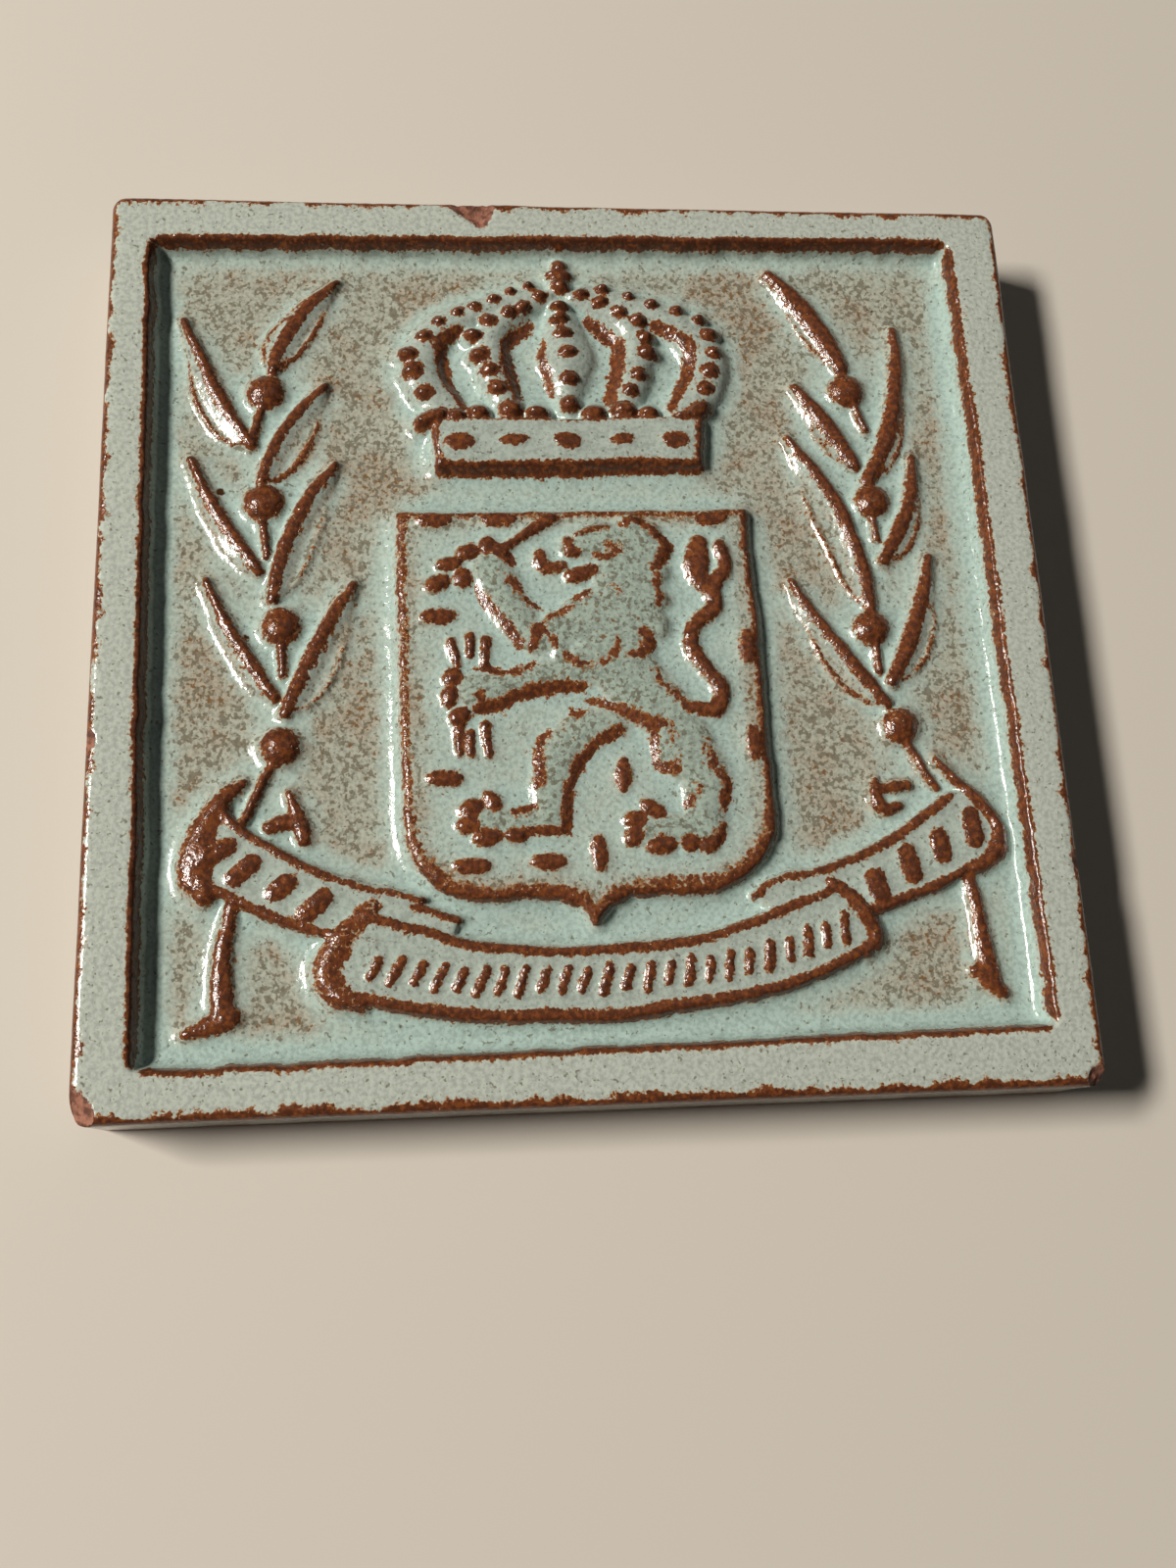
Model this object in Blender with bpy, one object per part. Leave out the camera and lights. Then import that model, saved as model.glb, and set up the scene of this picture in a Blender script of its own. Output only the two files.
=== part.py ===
"""A square stoneware wall tile with a raised rim and a crown, a shield and two branches in relief.

The tile lies on its back at z = 0 with its centre over the origin, +Y towards the crown.
Lengths below are in millimetres. Places in the relief are given in the design's own frame,
whose y axis runs through the middle of the crown and the point of the shield.
"""

import math

import bmesh
import bpy
import numpy as np
from mathutils import Matrix, Vector

MM = 0.001

# Body
TILE_SIDE = 110.0
TILE_THICKNESS = 12.0
CORNER_RADIUS = 1.8
TOP_EDGE_RADIUS = 1.0
BACK_EDGE_RADIUS = 0.6

# Sunk field inside the rim
RIM_WIDTH = 5.5
FIELD_DEPTH = 3.0
FIELD_WALL_LEAN = 0.7
FIELD_FOOT_RADIUS = 0.8
FIELD_SHIFT = (-0.2, 0.3)

# The whole design sits a little askew in the tile
DESIGN_TURN = math.radians(0.8)
DESIGN_AXIS_X = -0.35
DRAWN_FIELD = 99.0

# Heights of the relief above what carries it
SHIELD_HEIGHT = 1.9
LION_HEIGHT = 1.0
BILLET_HEIGHT = 0.5
CROWN_BAND_HEIGHT = 2.3
CROWN_RIB_HEIGHT = 1.9
CROWN_BEAD_HEIGHT = 0.5
RIBBON_HEIGHT = 1.5
RIBBON_EDGE_HEIGHT = 0.35
CURL_RISE = 0.2
MARK_HEIGHT = 0.45
LEAF_CREST_HEIGHT = 1.3
LEAF_BLADE_HEIGHT = 0.55
BERRY_HEIGHT = 1.8
STEM_HEIGHT = 1.1

# How far a raised shape reaches into what carries it
ROOT = 0.45

# A ridge with round ends goes on past its line, by a share of its half width, at a smaller size
ROUND_END_REACH = 0.6
ROUND_END_SHARE = 0.6

# A flat-topped ridge has its flanks lifted by this power; 1 leaves them round
FLAT_TOP = 0.5

# Keying grooves in the back
GROOVE_COUNT = 6
GROOVE_WIDTH = 5.0
GROOVE_DEPTH = 0.8
GROOVE_END_MARGIN = 9.0

# Chips: the half sizes of each bite, and where it is along its edge
CHIP_ROUGHNESS = 0.14
TOP_CHIP = (4.6, 3.6, 0.9)
TOP_CHIP_X = -12.0
TOP_CHIP_TURN = math.radians(-24)
LEFT_CORNER_CHIP = (2.6, 3.4, 1.6)
RIGHT_CORNER_CHIP = (2.3, 2.2, 2.6)
LEFT_EDGE_CHIP = (0.8, 1.6, 1.0)
LEFT_EDGE_CHIP_Y = -14.0
RIGHT_EDGE_CHIP = (0.9, 2.2, 1.2)
RIGHT_EDGE_CHIP_Y = -29.5

FIELD_SIDE = TILE_SIDE - 2 * RIM_WIDTH
FIELD_Z = TILE_THICKNESS - FIELD_DEPTH
SHIELD_Z = FIELD_Z + SHIELD_HEIGHT
DRAWN_SCALE = FIELD_SIDE / DRAWN_FIELD


def new_collection(name, hidden=False):
    collection = bpy.data.collections.new(name)
    bpy.context.scene.collection.children.link(collection)
    collection.hide_render = hidden
    return collection


def add_mesh_object(name, mesh, collection):
    shape = bpy.data.objects.new(name, mesh)
    collection.objects.link(shape)
    if collection.hide_render:
        shape.hide_render = True
        shape.display_type = "WIRE"
    return shape


def finish_bmesh(name, shape, collection):
    bmesh.ops.recalc_face_normals(shape, faces=shape.faces)
    mesh = bpy.data.meshes.new(name)
    shape.to_mesh(mesh)
    shape.free()
    return add_mesh_object(name, mesh, collection)


def mesh_from_curve(name, curve, collection):
    """Turn a curve into a closed mesh object and drop the curve."""
    line = bpy.data.objects.new(name + "_line", curve)
    collection.objects.link(line)
    bpy.context.view_layer.update()
    evaluated = line.evaluated_get(bpy.context.evaluated_depsgraph_get())
    mesh = bpy.data.meshes.new_from_object(evaluated)
    shape = bmesh.new()
    shape.from_mesh(mesh)
    bmesh.ops.remove_doubles(shape, verts=shape.verts, dist=0.001 * MM)
    bmesh.ops.recalc_face_normals(shape, faces=shape.faces)
    shape.to_mesh(mesh)
    shape.free()
    solid = add_mesh_object(name, mesh, collection)
    solid.matrix_world = line.matrix_world
    bpy.data.objects.remove(line)
    return solid


def placed(point):
    """Take a point of the design, in mm, to the tile's own frame."""
    turned = Matrix.Rotation(DESIGN_TURN, 2) @ Vector((point[0] + DESIGN_AXIS_X, point[1]))
    return turned * DRAWN_SCALE


def smooth(points, steps):
    """Points on a smooth curve through the given ones, with steps to each span."""
    ends = [2 * np.array(points[0]) - points[1], 2 * np.array(points[-1]) - points[-2]]
    row = np.array([ends[0], *points, ends[1]], float)
    line = [row[1]]
    for before, start, end, after in zip(row, row[1:], row[2:], row[3:]):
        for step in range(1, steps + 1):
            t = step / steps
            line.append(
                0.5 * (2 * start + (end - before) * t
                       + (2 * before - 5 * start + 4 * end - after) * t ** 2
                       + (3 * start - before - 3 * end + after) * t ** 3)
            )
    return line


def bowed(start, end, bow, steps):
    """A shallow arc between two points that stands off its chord by bow, to the left of its run."""
    start, end = np.array(start, float), np.array(end, float)
    run = end - start
    left = np.array([-run[1], run[0]]) / np.linalg.norm(run)
    shares = np.linspace(0, 1, steps + 1)
    return [start + run * t + left * bow * 4 * t * (1 - t) for t in shares]


def evenly(points, count):
    """Count points spaced evenly along a line."""
    points = np.array(points)
    along = np.r_[0, np.cumsum(np.linalg.norm(np.diff(points, axis=0), axis=1))]
    wanted = np.linspace(0, along[-1], count)
    return [np.array([np.interp(s, along, points[:, axis]) for axis in (0, 1)]) for s in wanted]


def spread(height):
    """How much wider a domed shape is at its sunk middle than where it leaves its base."""
    return 1 / math.sqrt(1 - (ROOT / (height + ROOT)) ** 2)


def with_round_ends(line, shares, half_width):
    """Carry a line past both its ends at a smaller size, so that its ridge ends round."""
    line = [np.array(point, float) for point in line]
    caps = []
    for end, inner, share in ((line[0], line[1], shares[0]), (line[-1], line[-2], shares[-1])):
        outward = (end - inner) / np.linalg.norm(end - inner)
        caps.append(end + outward * half_width * share * ROUND_END_REACH)
    end_shares = [share * ROUND_END_SHARE for share in (shares[0], shares[-1])]
    return [caps[0], *line, caps[1]], [end_shares[0], *shares, end_shares[1]]


def ridge(name, line, half_width, height, base, taper=(0.4, 1.0, 0.6), sides=6, fullness=1.0,
          round_ends=False):
    """A raised ridge on the height base along a line of the design.

    taper gives the shares of its size along the line, from start to end. A fullness below 1
    lifts its flanks towards a flat top.
    """
    shares = np.interp(np.linspace(0, 1, len(line)), np.linspace(0, 1, len(taper)), taper)
    if round_ends:
        line, shares = with_round_ends(line, shares, half_width)
    radius = half_width * DRAWN_SCALE * spread(height)
    curve = bpy.data.curves.new(name, "CURVE")
    curve.dimensions = "3D"
    curve.twist_mode = "Z_UP"
    curve.bevel_depth = radius * MM
    curve.bevel_resolution = (sides - 4) // 2
    curve.use_fill_caps = True
    spline = curve.splines.new("POLY")
    spline.points.add(len(line) - 1)
    for point, place, share in zip(spline.points, line, shares):
        point.co = (*(placed(place) * MM), 0, 1)
        point.radius = share
    solid = mesh_from_curve(name, curve, raised)
    for corner in solid.data.vertices:
        rise = corner.co.z / (radius * MM)
        full_rise = math.copysign(abs(rise) ** fullness, rise)
        corner.co.z = (base - ROOT + full_rise * (height + ROOT)) * MM
    return solid


def bead(name, place, half_sizes, height, base, turn=0.0, sides=8):
    """A domed bead on the height base, with its own half length and half width."""
    shape = bmesh.new()
    bmesh.ops.create_uvsphere(shape, u_segments=sides, v_segments=5, radius=1)
    stretch = [size * DRAWN_SCALE * spread(height) * MM for size in half_sizes]
    stretch.append((height + ROOT) * MM)
    bmesh.ops.transform(shape, matrix=Matrix.Diagonal((*stretch, 1)), verts=shape.verts)
    turned = Matrix.Rotation(DESIGN_TURN + turn, 4, "Z")
    spot = Matrix.Translation((*(placed(place) * MM), (base - ROOT) * MM))
    bmesh.ops.transform(shape, matrix=spot @ turned, verts=shape.verts)
    return finish_bmesh(name, shape, raised)


def plate(name, outline, height, base, softness=0.3):
    """A flat raised plate with softened edges inside an outline of the design."""
    curve = bpy.data.curves.new(name, "CURVE")
    curve.dimensions = "2D"
    curve.fill_mode = "BOTH"
    curve.extrude = ((height + ROOT) / 2 - softness) * MM
    curve.bevel_depth = softness * MM
    curve.bevel_resolution = 0
    curve.offset = -softness * MM
    spline = curve.splines.new("POLY")
    spline.points.add(len(outline) - 1)
    spline.use_cyclic_u = True
    for point, place in zip(spline.points, outline):
        point.co = (*(placed(place) * MM), 0, 1)
    solid = mesh_from_curve(name, curve, raised)
    solid.data.transform(Matrix.Translation((0, 0, (base + (height - ROOT) / 2) * MM)))
    return solid


def make_body():
    """The square slab, with rounded corners and arrises."""
    shape = bmesh.new()
    bmesh.ops.create_cube(shape, size=1)
    size = Matrix.Diagonal((TILE_SIDE * MM, TILE_SIDE * MM, TILE_THICKNESS * MM, 1))
    lift = Matrix.Translation((0, 0, TILE_THICKNESS / 2 * MM))
    bmesh.ops.transform(shape, matrix=lift @ size, verts=shape.verts)
    upright = [e for e in shape.edges if abs(e.verts[0].co.z - e.verts[1].co.z) > MM]
    round_edges(shape, upright, CORNER_RADIUS, 3)
    for height, radius, steps in (
        (TILE_THICKNESS, TOP_EDGE_RADIUS, 3),
        (0, BACK_EDGE_RADIUS, 1),
    ):
        level = [e for e in shape.edges if all(abs(v.co.z / MM - height) < 0.01 for v in e.verts)]
        round_edges(shape, level, radius, steps)
    return finish_bmesh("tile", shape, tile_parts)


def round_edges(shape, edges, radius, steps):
    bmesh.ops.bevel(shape, geom=edges, offset=radius * MM, segments=steps, profile=0.5,
                    affect="EDGES")


def make_field_cutter():
    """The sunk field: leaning walls and a rounded foot."""
    cutter_height = FIELD_DEPTH * 2
    shape = bmesh.new()
    bmesh.ops.create_cube(shape, size=1)
    for corner in shape.verts:
        top = corner.co.z > 0
        lean = FIELD_WALL_LEAN if top else -FIELD_WALL_LEAN
        side = FIELD_SIDE + 2 * lean
        corner.co.x *= side * MM
        corner.co.y *= side * MM
        corner.co.z = cutter_height * MM if top else 0
    foot = [e for e in shape.edges if all(v.co.z < MM for v in e.verts)]
    round_edges(shape, foot, FIELD_FOOT_RADIUS, 2)
    turned = Matrix.Rotation(DESIGN_TURN, 4, "Z")
    spot = Matrix.Translation((FIELD_SHIFT[0] * MM, FIELD_SHIFT[1] * MM, FIELD_Z * MM))
    bmesh.ops.transform(shape, matrix=spot @ turned, verts=shape.verts)
    return finish_bmesh("field_cutter", shape, cutters)


def make_grooves():
    """Shallow keying grooves across the back, short of the edges."""
    pitch = TILE_SIDE / (GROOVE_COUNT + 1)
    for index in range(GROOVE_COUNT):
        shape = bmesh.new()
        bmesh.ops.create_cube(shape, size=1)
        size = (TILE_SIDE - 2 * GROOVE_END_MARGIN, GROOVE_WIDTH, 2 * GROOVE_DEPTH)
        bmesh.ops.transform(shape, matrix=Matrix.Diagonal((*(s * MM for s in size), 1)),
                            verts=shape.verts)
        y = (index + 1) * pitch - TILE_SIDE / 2
        bmesh.ops.translate(shape, vec=(0, y * MM, 0), verts=shape.verts)
        finish_bmesh(f"groove_{index + 1}", shape, cutters)


def make_chip(name, place, half_sizes, turn, seed):
    """A rough bite out of an edge, as a small faceted lump to cut away."""
    shape = bmesh.new()
    bmesh.ops.create_icosphere(shape, subdivisions=1, radius=1)
    rough = np.random.default_rng(seed)
    for corner in shape.verts:
        corner.co *= 1 + CHIP_ROUGHNESS * rough.uniform(-1, 1)
    bmesh.ops.transform(shape, matrix=Matrix.Diagonal((*(s * MM for s in half_sizes), 1)),
                        verts=shape.verts)
    spot = Matrix.Translation(Vector(place) * MM) @ Matrix.Rotation(turn, 4, "Z")
    bmesh.ops.transform(shape, matrix=spot, verts=shape.verts)
    return finish_bmesh(name, shape, cutters)


def make_chips():
    edge = TILE_SIDE / 2
    top = TILE_THICKNESS
    make_chip("chip_top", (TOP_CHIP_X, edge, top), TOP_CHIP, TOP_CHIP_TURN, 3)
    make_chip("chip_left_corner", (-edge, -edge, top), LEFT_CORNER_CHIP, 0.3, 5)
    make_chip("chip_right_corner", (edge, -edge, top), RIGHT_CORNER_CHIP, 0.1, 8)
    make_chip("chip_left_edge", (-edge, LEFT_EDGE_CHIP_Y, top), LEFT_EDGE_CHIP, 0.1, 11)
    make_chip("chip_right_edge", (edge, RIGHT_EDGE_CHIP_Y, top), RIGHT_EDGE_CHIP, -0.1, 13)


# Shield: half width, top, where the sides start to round in, the rounding and the ogee point
SHIELD_HALF_WIDTH = 20.6
SHIELD_TOP = 13.6
SHIELD_FOOT = -32.2
SHIELD_ROUND = 8.5
SHIELD_POINT = (0.0, -35.1)
SHIELD_POINT_HALF_WIDTH = 4.0
SHIELD_EDGE = 0.45
SHIELD_EDGE_HEIGHT = 0.3
BILLETS = (
    (-16.4, 12.6, 0), (-9.0, 12.6, 0), (16.2, 12.4, 0), (-16.3, 0.6, 0), (-16.1, -18.7, 0),
    (-13.4, -28.5, 0), (-5.1, -28.6, 0), (19.2, -3.8, 1), (19.0, -15.6, 1), (3.8, -18.8, 1),
    (0.7, -27.9, 1),
)
BILLET_HALF_SIZES = (1.95, 0.75)


def shield_outline():
    corner = [
        (
            SHIELD_HALF_WIDTH - SHIELD_ROUND * (1 - math.cos(angle)),
            SHIELD_FOOT + SHIELD_ROUND * (1 - math.sin(angle)),
        )
        for angle in np.linspace(0, math.pi / 2, 5)
    ]
    right = [(SHIELD_HALF_WIDTH, SHIELD_TOP), *corner]
    right += [(SHIELD_POINT_HALF_WIDTH, SHIELD_FOOT - 0.2), (1.3, SHIELD_FOOT - 1.2)]
    left = [(-x, y) for x, y in reversed(right)]
    return [*right, SHIELD_POINT, *left]


def make_shield():
    outline = shield_outline()
    plate("shield_plate", outline, SHIELD_HEIGHT, FIELD_Z)
    inner = [np.array(place) * (1 - SHIELD_EDGE / SHIELD_HALF_WIDTH) for place in outline]
    ridge("shield_edge", inner[1:-1], SHIELD_EDGE, SHIELD_EDGE_HEIGHT, SHIELD_Z, (1, 1, 1), 4)
    for index, (x, y, upright) in enumerate(BILLETS):
        turn = math.pi / 2 if upright else 0
        bead(f"billet_{index + 1}", (x, y), BILLET_HALF_SIZES, BILLET_HEIGHT, SHIELD_Z, turn, 6)


# The lion, limb by limb: the middle line, the half width, and its shares along the line
LION_LIMBS = {
    "head": ([(1.9, 8.7), (4.4, 9.2), (7.2, 9.0)], 2.6, (0.9, 1.05, 1.0)),
    "mane": ([(6.3, 8.4), (5.9, 4.2), (4.7, -0.6), (2.4, -3.0)], 4.2, (0.85, 1.0, 1.05, 0.75)),
    "chest": ([(3.6, 1.2), (-0.5, -1.0), (-3.8, -2.2)], 2.8, (1, 0.9, 0.75)),
    "body": ([(3.6, -4.0), (5.3, -7.4), (8.6, -11.2)], 3.8, (1.0, 0.95, 0.9)),
    "raised_arm": ([(-5.0, -3.2), (-6.9, -0.6), (-8.5, 2.6), (-10.2, 6.4)], 2.25,
                   (0.75, 0.95, 1, 1)),
    "reaching_arm": ([(1.4, -6.2), (-5.0, -7.1), (-9.0, -8.1), (-12.4, -8.7)], 2.1,
                     (0.95, 0.8, 0.75, 0.95)),
    "front_thigh": ([(3.4, -12.4), (-0.4, -13.8), (-3.2, -16.2), (-4.3, -19.2)], 2.3,
                    (0.75, 1, 1, 0.95)),
    "front_shin": ([(-4.2, -19.0), (-4.4, -21.4), (-4.2, -23.6)], 2.1, (1, 0.95, 0.85)),
    "front_foot": ([(-4.4, -24.1), (-8.4, -24.1), (-12.2, -23.5)], 1.6, (0.8, 0.95, 1)),
    "rear_thigh": ([(9.2, -11.4), (10.4, -14.2), (10.8, -16.0)], 3.35, (0.88, 1, 0.98)),
    "rear_hock": ([(11.0, -16.4), (12.8, -18.6), (13.1, -21.2)], 3.0, (1, 0.87, 0.82)),
    "rear_shin": ([(13.1, -20.6), (12.9, -23.0), (12.8, -25.2)], 2.25, (1, 0.95, 1)),
    "rear_foot": ([(12.6, -25.6), (9.2, -25.4), (6.2, -25.3)], 1.85, (1, 0.95, 0.95)),
}
LION_LOCKS = (
    (6.4, 11.6, 1.3), (8.6, 10.3, 1.4), (9.6, 8.3, 1.4), (9.4, 5.2, 1.3), (9.1, 2.0, 1.3),
    (8.7, -1.4, 1.4), (6.8, -3.9, 1.4), (2.2, -5.0, 1.3), (-1.4, -4.3, 1.2), (-5.0, -2.6, 1.4),
)
LION_PAWS = ((-11.8, 7.2, 2.0), (-13.4, -8.8, 1.9), (-12.4, -23.4, 1.7), (5.9, -25.4, 1.8))
LION_TOES = (
    (-10.6, 9.2), (-12.8, 8.5), (-14.4, 7.0), (-13.4, 5.3), (-16.2, 4.6),
    (-14.8, -7.1), (-15.3, -9.2), (-14.2, -11.2),
    (-11.0, -21.6), (-13.6, -22.1), (-13.9, -23.9), (-11.8, -25.2),
    (6.8, -23.3), (4.6, -24.2), (4.4, -26.1), (7.2, -27.2), (10.8, -27.0),
)
LION_TOE_RADIUS = 1.0
LION_FACE = {
    "muzzle": ([(-0.8, 9.6), (-0.8, 7.6)], 0.8),
    "brow": ([(0.2, 9.6), (2.6, 8.2)], 0.6),
    "jaw": ([(-1.2, 4.9), (1.6, 6.0)], 0.8),
    "tongue": ([(-4.4, 8.2), (-4.6, 6.6), (-1.8, 6.2)], 0.8),
}
LION_TAIL = [
    (12.0, -11.2), (14.9, -11.4), (15.7, -9.0), (14.3, -6.7), (12.6, -3.9), (13.2, -1.2), (15.7, 1.0),
    (15.8, 3.6), (17.3, 6.0), (16.9, 8.6),
]
LION_TAIL_TUFT = [(15.4, 3.4), (13.8, 5.6), (14.2, 9.0)]
SWORD = [(-9.4, 8.4), (-2.8, 12.6)]
ARROWS = (
    ((-14.9, -2.6), (-14.2, -5.4)), ((-12.7, -2.0), (-12.8, -4.2)), ((-10.9, -2.4), (-11.1, -5.2)),
    ((-14.3, -12.4), (-14.2, -15.8)), ((-13.0, -13.6), (-13.0, -16.0)), ((-11.3, -12.6), (-11.0, -16.0)),
)


def make_lion():
    for name, (points, half_width, taper) in LION_LIMBS.items():
        ridge(f"lion_{name}", smooth(points, 2), half_width, LION_HEIGHT, SHIELD_Z, taper, 8,
              FLAT_TOP, round_ends=True)
    for index, (x, y, radius) in enumerate(LION_LOCKS):
        bead(f"lion_lock_{index + 1}", (x, y), (radius, radius), LION_HEIGHT, SHIELD_Z, 0, 6)
    for index, (x, y, radius) in enumerate(LION_PAWS):
        bead(f"lion_paw_{index + 1}", (x, y), (radius, radius), LION_HEIGHT, SHIELD_Z, 0, 6)
    for index, place in enumerate(LION_TOES):
        bead(f"lion_toe_{index + 1}", place, (LION_TOE_RADIUS,) * 2, LION_HEIGHT * 0.8, SHIELD_Z, 0, 6)
    for name, (points, half_width) in LION_FACE.items():
        ridge(f"lion_{name}", points, half_width, LION_HEIGHT, SHIELD_Z, (0.8, 1, 0.8))
    ridge("lion_tail", smooth(LION_TAIL, 2), 1.1, LION_HEIGHT, SHIELD_Z, (0.7, 1, 1, 1, 0.8))
    ridge("lion_tail_tuft", smooth(LION_TAIL_TUFT, 2), 1.3, LION_HEIGHT, SHIELD_Z, (0.7, 1, 0.9))
    ridge("sword", SWORD, 0.7, LION_HEIGHT * 0.8, SHIELD_Z, (0.9, 1, 0.9))
    for index, shaft in enumerate(ARROWS):
        ridge(f"arrow_{index + 1}", shaft, 0.5, LION_HEIGHT * 0.6, SHIELD_Z, (1, 0.9, 0.7), 4)


# Crown: the band, the ribs on each side, and the rows of beads along them
CROWN_BAND_HALF_WIDTH = 15.6
CROWN_BAND = (19.7, 25.7)
CROWN_OUTER_RIB = [(13.6, 26.6), (16.9, 30.4), (17.4, 34.6), (14.8, 38.6), (9.0, 41.4), (3.2, 43.4)]
CROWN_INNER_RIB = [(6.8, 27.0), (8.4, 31.2), (9.0, 35.2), (8.4, 38.6), (5.2, 41.2), (1.4, 43.0)]
CROWN_OUTER_BEADS = [(17.1, 29.6), (18.7, 34.0), (17.4, 37.6), (11.0, 41.6), (4.5, 44.1)]
CROWN_INNER_BEADS = [(8.2, 29.8), (9.8, 34.8), (10.2, 37.4), (7.4, 40.3), (2.6, 43.0)]
CROWN_CENTRE_BEADS = [(0.6, 31.3), (0.6, 34.9), (0.1, 37.6), (-0.3, 39.6), (-0.2, 41.4)]
CROWN_FOOT_BEADS = [
    (-10.6, 26.6), (-6.8, 27.1), (-3.6, 26.7), (0.4, 28.0), (3.2, 26.7), (6.9, 26.9), (9.9, 26.5),
]
CROWN_JEWELS = [(-13.0, 1.7), (-6.6, 1.6), (-0.1, 2.0), (6.3, 1.5), (12.7, 1.8)]
CROWN_JEWEL_Y = 22.6


def mirrored(points, side):
    return [(side * x, y) for x, y in points]


def make_crown():
    low, high = CROWN_BAND
    wide = CROWN_BAND_HALF_WIDTH
    band = [(wide, low), (wide + 0.4, high), (-wide - 0.4, high), (-wide, low)]
    plate("crown_band", band, CROWN_BAND_HEIGHT, FIELD_Z, 0.35)
    bead_top = CROWN_RIB_HEIGHT + CROWN_BEAD_HEIGHT
    band_top = CROWN_BAND_HEIGHT + CROWN_BEAD_HEIGHT
    for side, name, outer_count in ((-1, "left", 10), (1, "right", 9)):
        for row, line, half_width, taper in (
            ("outer", CROWN_OUTER_RIB, 3.0, (0.9, 1, 0.95, 0.7, 0.5)),
            ("inner", CROWN_INNER_RIB, 2.5, (0.8, 1, 0.95, 0.7, 0.5)),
        ):
            ridge(f"crown_{row}_rib_{name}", smooth(mirrored(line, side), 2), half_width,
                  CROWN_RIB_HEIGHT, FIELD_Z, taper, 8)
        rows = (("outer", CROWN_OUTER_BEADS, outer_count), ("inner", CROWN_INNER_BEADS, 8))
        for row, line, count in rows:
            places = evenly(smooth(mirrored(line, side), 4), count)
            for index, place in enumerate(places):
                radius = 1.25 - 0.4 * index / count
                bead(f"crown_{row}_bead_{name}_{index + 1}", place, (radius, radius * 0.9),
                     bead_top, FIELD_Z, 0, 6)
        bead(f"crown_leaf_{name}", (side * 16.0, 26.3), (2.2, 1.4), band_top, FIELD_Z, side * -0.2, 6)
    ridge("crown_centre_rib", smooth([(0.0, 28.2), (0.0, 34.5), (0.0, 41.6)], 3), 3.9,
          CROWN_RIB_HEIGHT, FIELD_Z, (0.4, 0.85, 1, 0.85, 0.35), 8)
    for index, place in enumerate(CROWN_CENTRE_BEADS):
        bead(f"crown_centre_bead_{index + 1}", place, (1.1, 0.8), bead_top, FIELD_Z, 0, 6)
    for index, place in enumerate(CROWN_FOOT_BEADS):
        bead(f"crown_foot_bead_{index + 1}", place, (1.5, 1.4), band_top, FIELD_Z, 0, 6)
    for index, (x, half_length) in enumerate(CROWN_JEWELS):
        bead(f"crown_jewel_{index + 1}", (x, CROWN_JEWEL_Y), (half_length, half_length * 0.55),
             CROWN_BEAD_HEIGHT, FIELD_Z + CROWN_BAND_HEIGHT, 0, 8)
    bead("crown_orb", (0.0, 43.9), (1.3, 1.3), CROWN_RIB_HEIGHT, FIELD_Z, 0, 8)
    bead("crown_finial", (0.2, 46.1), (1.6, 1.2), CROWN_RIB_HEIGHT * 0.8, FIELD_Z, 0, 6)


# Leaves: tip, base, and how far the crest and the blade's free edge bow off the line between them
LEFT_LEAVES = (
    ((-27.3, 45.1), (-35.1, 33.0), 1.3, -1.3), ((-45.3, 40.0), (-37.5, 23.3), 0.7, 3.3),
    ((-28.9, 31.1), (-36.3, 18.6), 1.1, -2.5), ((-44.4, 21.3), (-36.5, 7.2), 0.5, 2.1),
    ((-27.8, 20.6), (-35.0, 3.5), 1.4, -1.8), ((-42.5, 5.9), (-34.8, -8.2), 0.5, 2.0),
    ((-25.9, 5.4), (-33.7, -10.1), 0.4, -2.9),
)
RIGHT_LEAVES = (
    ((26.7, 46.3), (34.5, 33.1), -0.7, 1.5), ((41.7, 38.2), (36.2, 17.6), -1.6, -3.2),
    ((28.4, 30.3), (34.8, 19.7), -0.3, 1.7), ((42.1, 20.9), (37.0, 7.2), -1.3, -3.1),
    ((26.8, 23.3), (34.8, 1.0), -2.1, 1.4), ((42.7, 7.5), (36.4, -8.0), -0.8, -3.2),
    ((25.7, 4.6), (35.3, -10.6), 0.4, 3.0),
)
LEFT_BERRIES = ((-36.0, 30.2), (-36.0, 15.8), (-34.1, 0.4), (-34.3, -13.9))
RIGHT_BERRIES = ((34.9, 29.9), (36.5, 14.9), (34.7, -1.4), (36.6, -13.5))
BERRY_RADIUS = 2.25
STALKS = {
    "left_1": [(-36.4, 28.7), (-37.4, 23.9)], "left_2": [(-36.2, 14.6), (-35.7, 9.2)],
    "left_3": [(-34.0, -0.5), (-34.0, -5.5)], "left_4": [(-34.8, -15.2), (-38.1, -22.5)],
    "right_1": [(35.1, 29.1), (36.7, 24.7)], "right_2": [(36.4, 13.6), (36.7, 9.8)],
    "right_3": [(34.9, -2.5), (35.0, -6.8)], "right_4": [(36.9, -15.2), (40.0, -21.3)],
}
STEMS = {
    "left_stem": ([(-39.4, -31.8), (-40.4, -37.8), (-40.2, -43.7)], 1.2, (0.7, 0.9, 1.2)),
    "left_stem_foot": ([(-39.6, -43.7), (-41.6, -44.4), (-44.0, -45.3)], 1.3, (1.1, 1.0, 0.5)),
    "right_stem": ([(42.7, -31.8), (43.3, -38.4), (43.8, -43.5)], 1.2, (0.7, 0.9, 1.2)),
    "right_stem_foot": ([(42.1, -42.4), (43.5, -43.6), (45.1, -45.1)], 1.2, (0.7, 1.0, 0.6)),
    "left_knot": ([(-33.1, -19.3), (-32.1, -22.1), (-31.7, -24.5)], 0.9, (0.5, 1.2, 1.0)),
    "left_knot_leaf": ([(-32.5, -22.6), (-35.2, -23.1)], 1.1, (0.9, 1, 0.7)),
    "right_knot": ([(32.9, -20.1), (32.7, -22.1), (34.6, -23.4)], 0.9, (0.6, 1, 0.9)),
    "right_knot_leaf": ([(33.2, -21.1), (36.6, -20.7)], 0.8, (0.9, 1, 1)),
}


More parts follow.
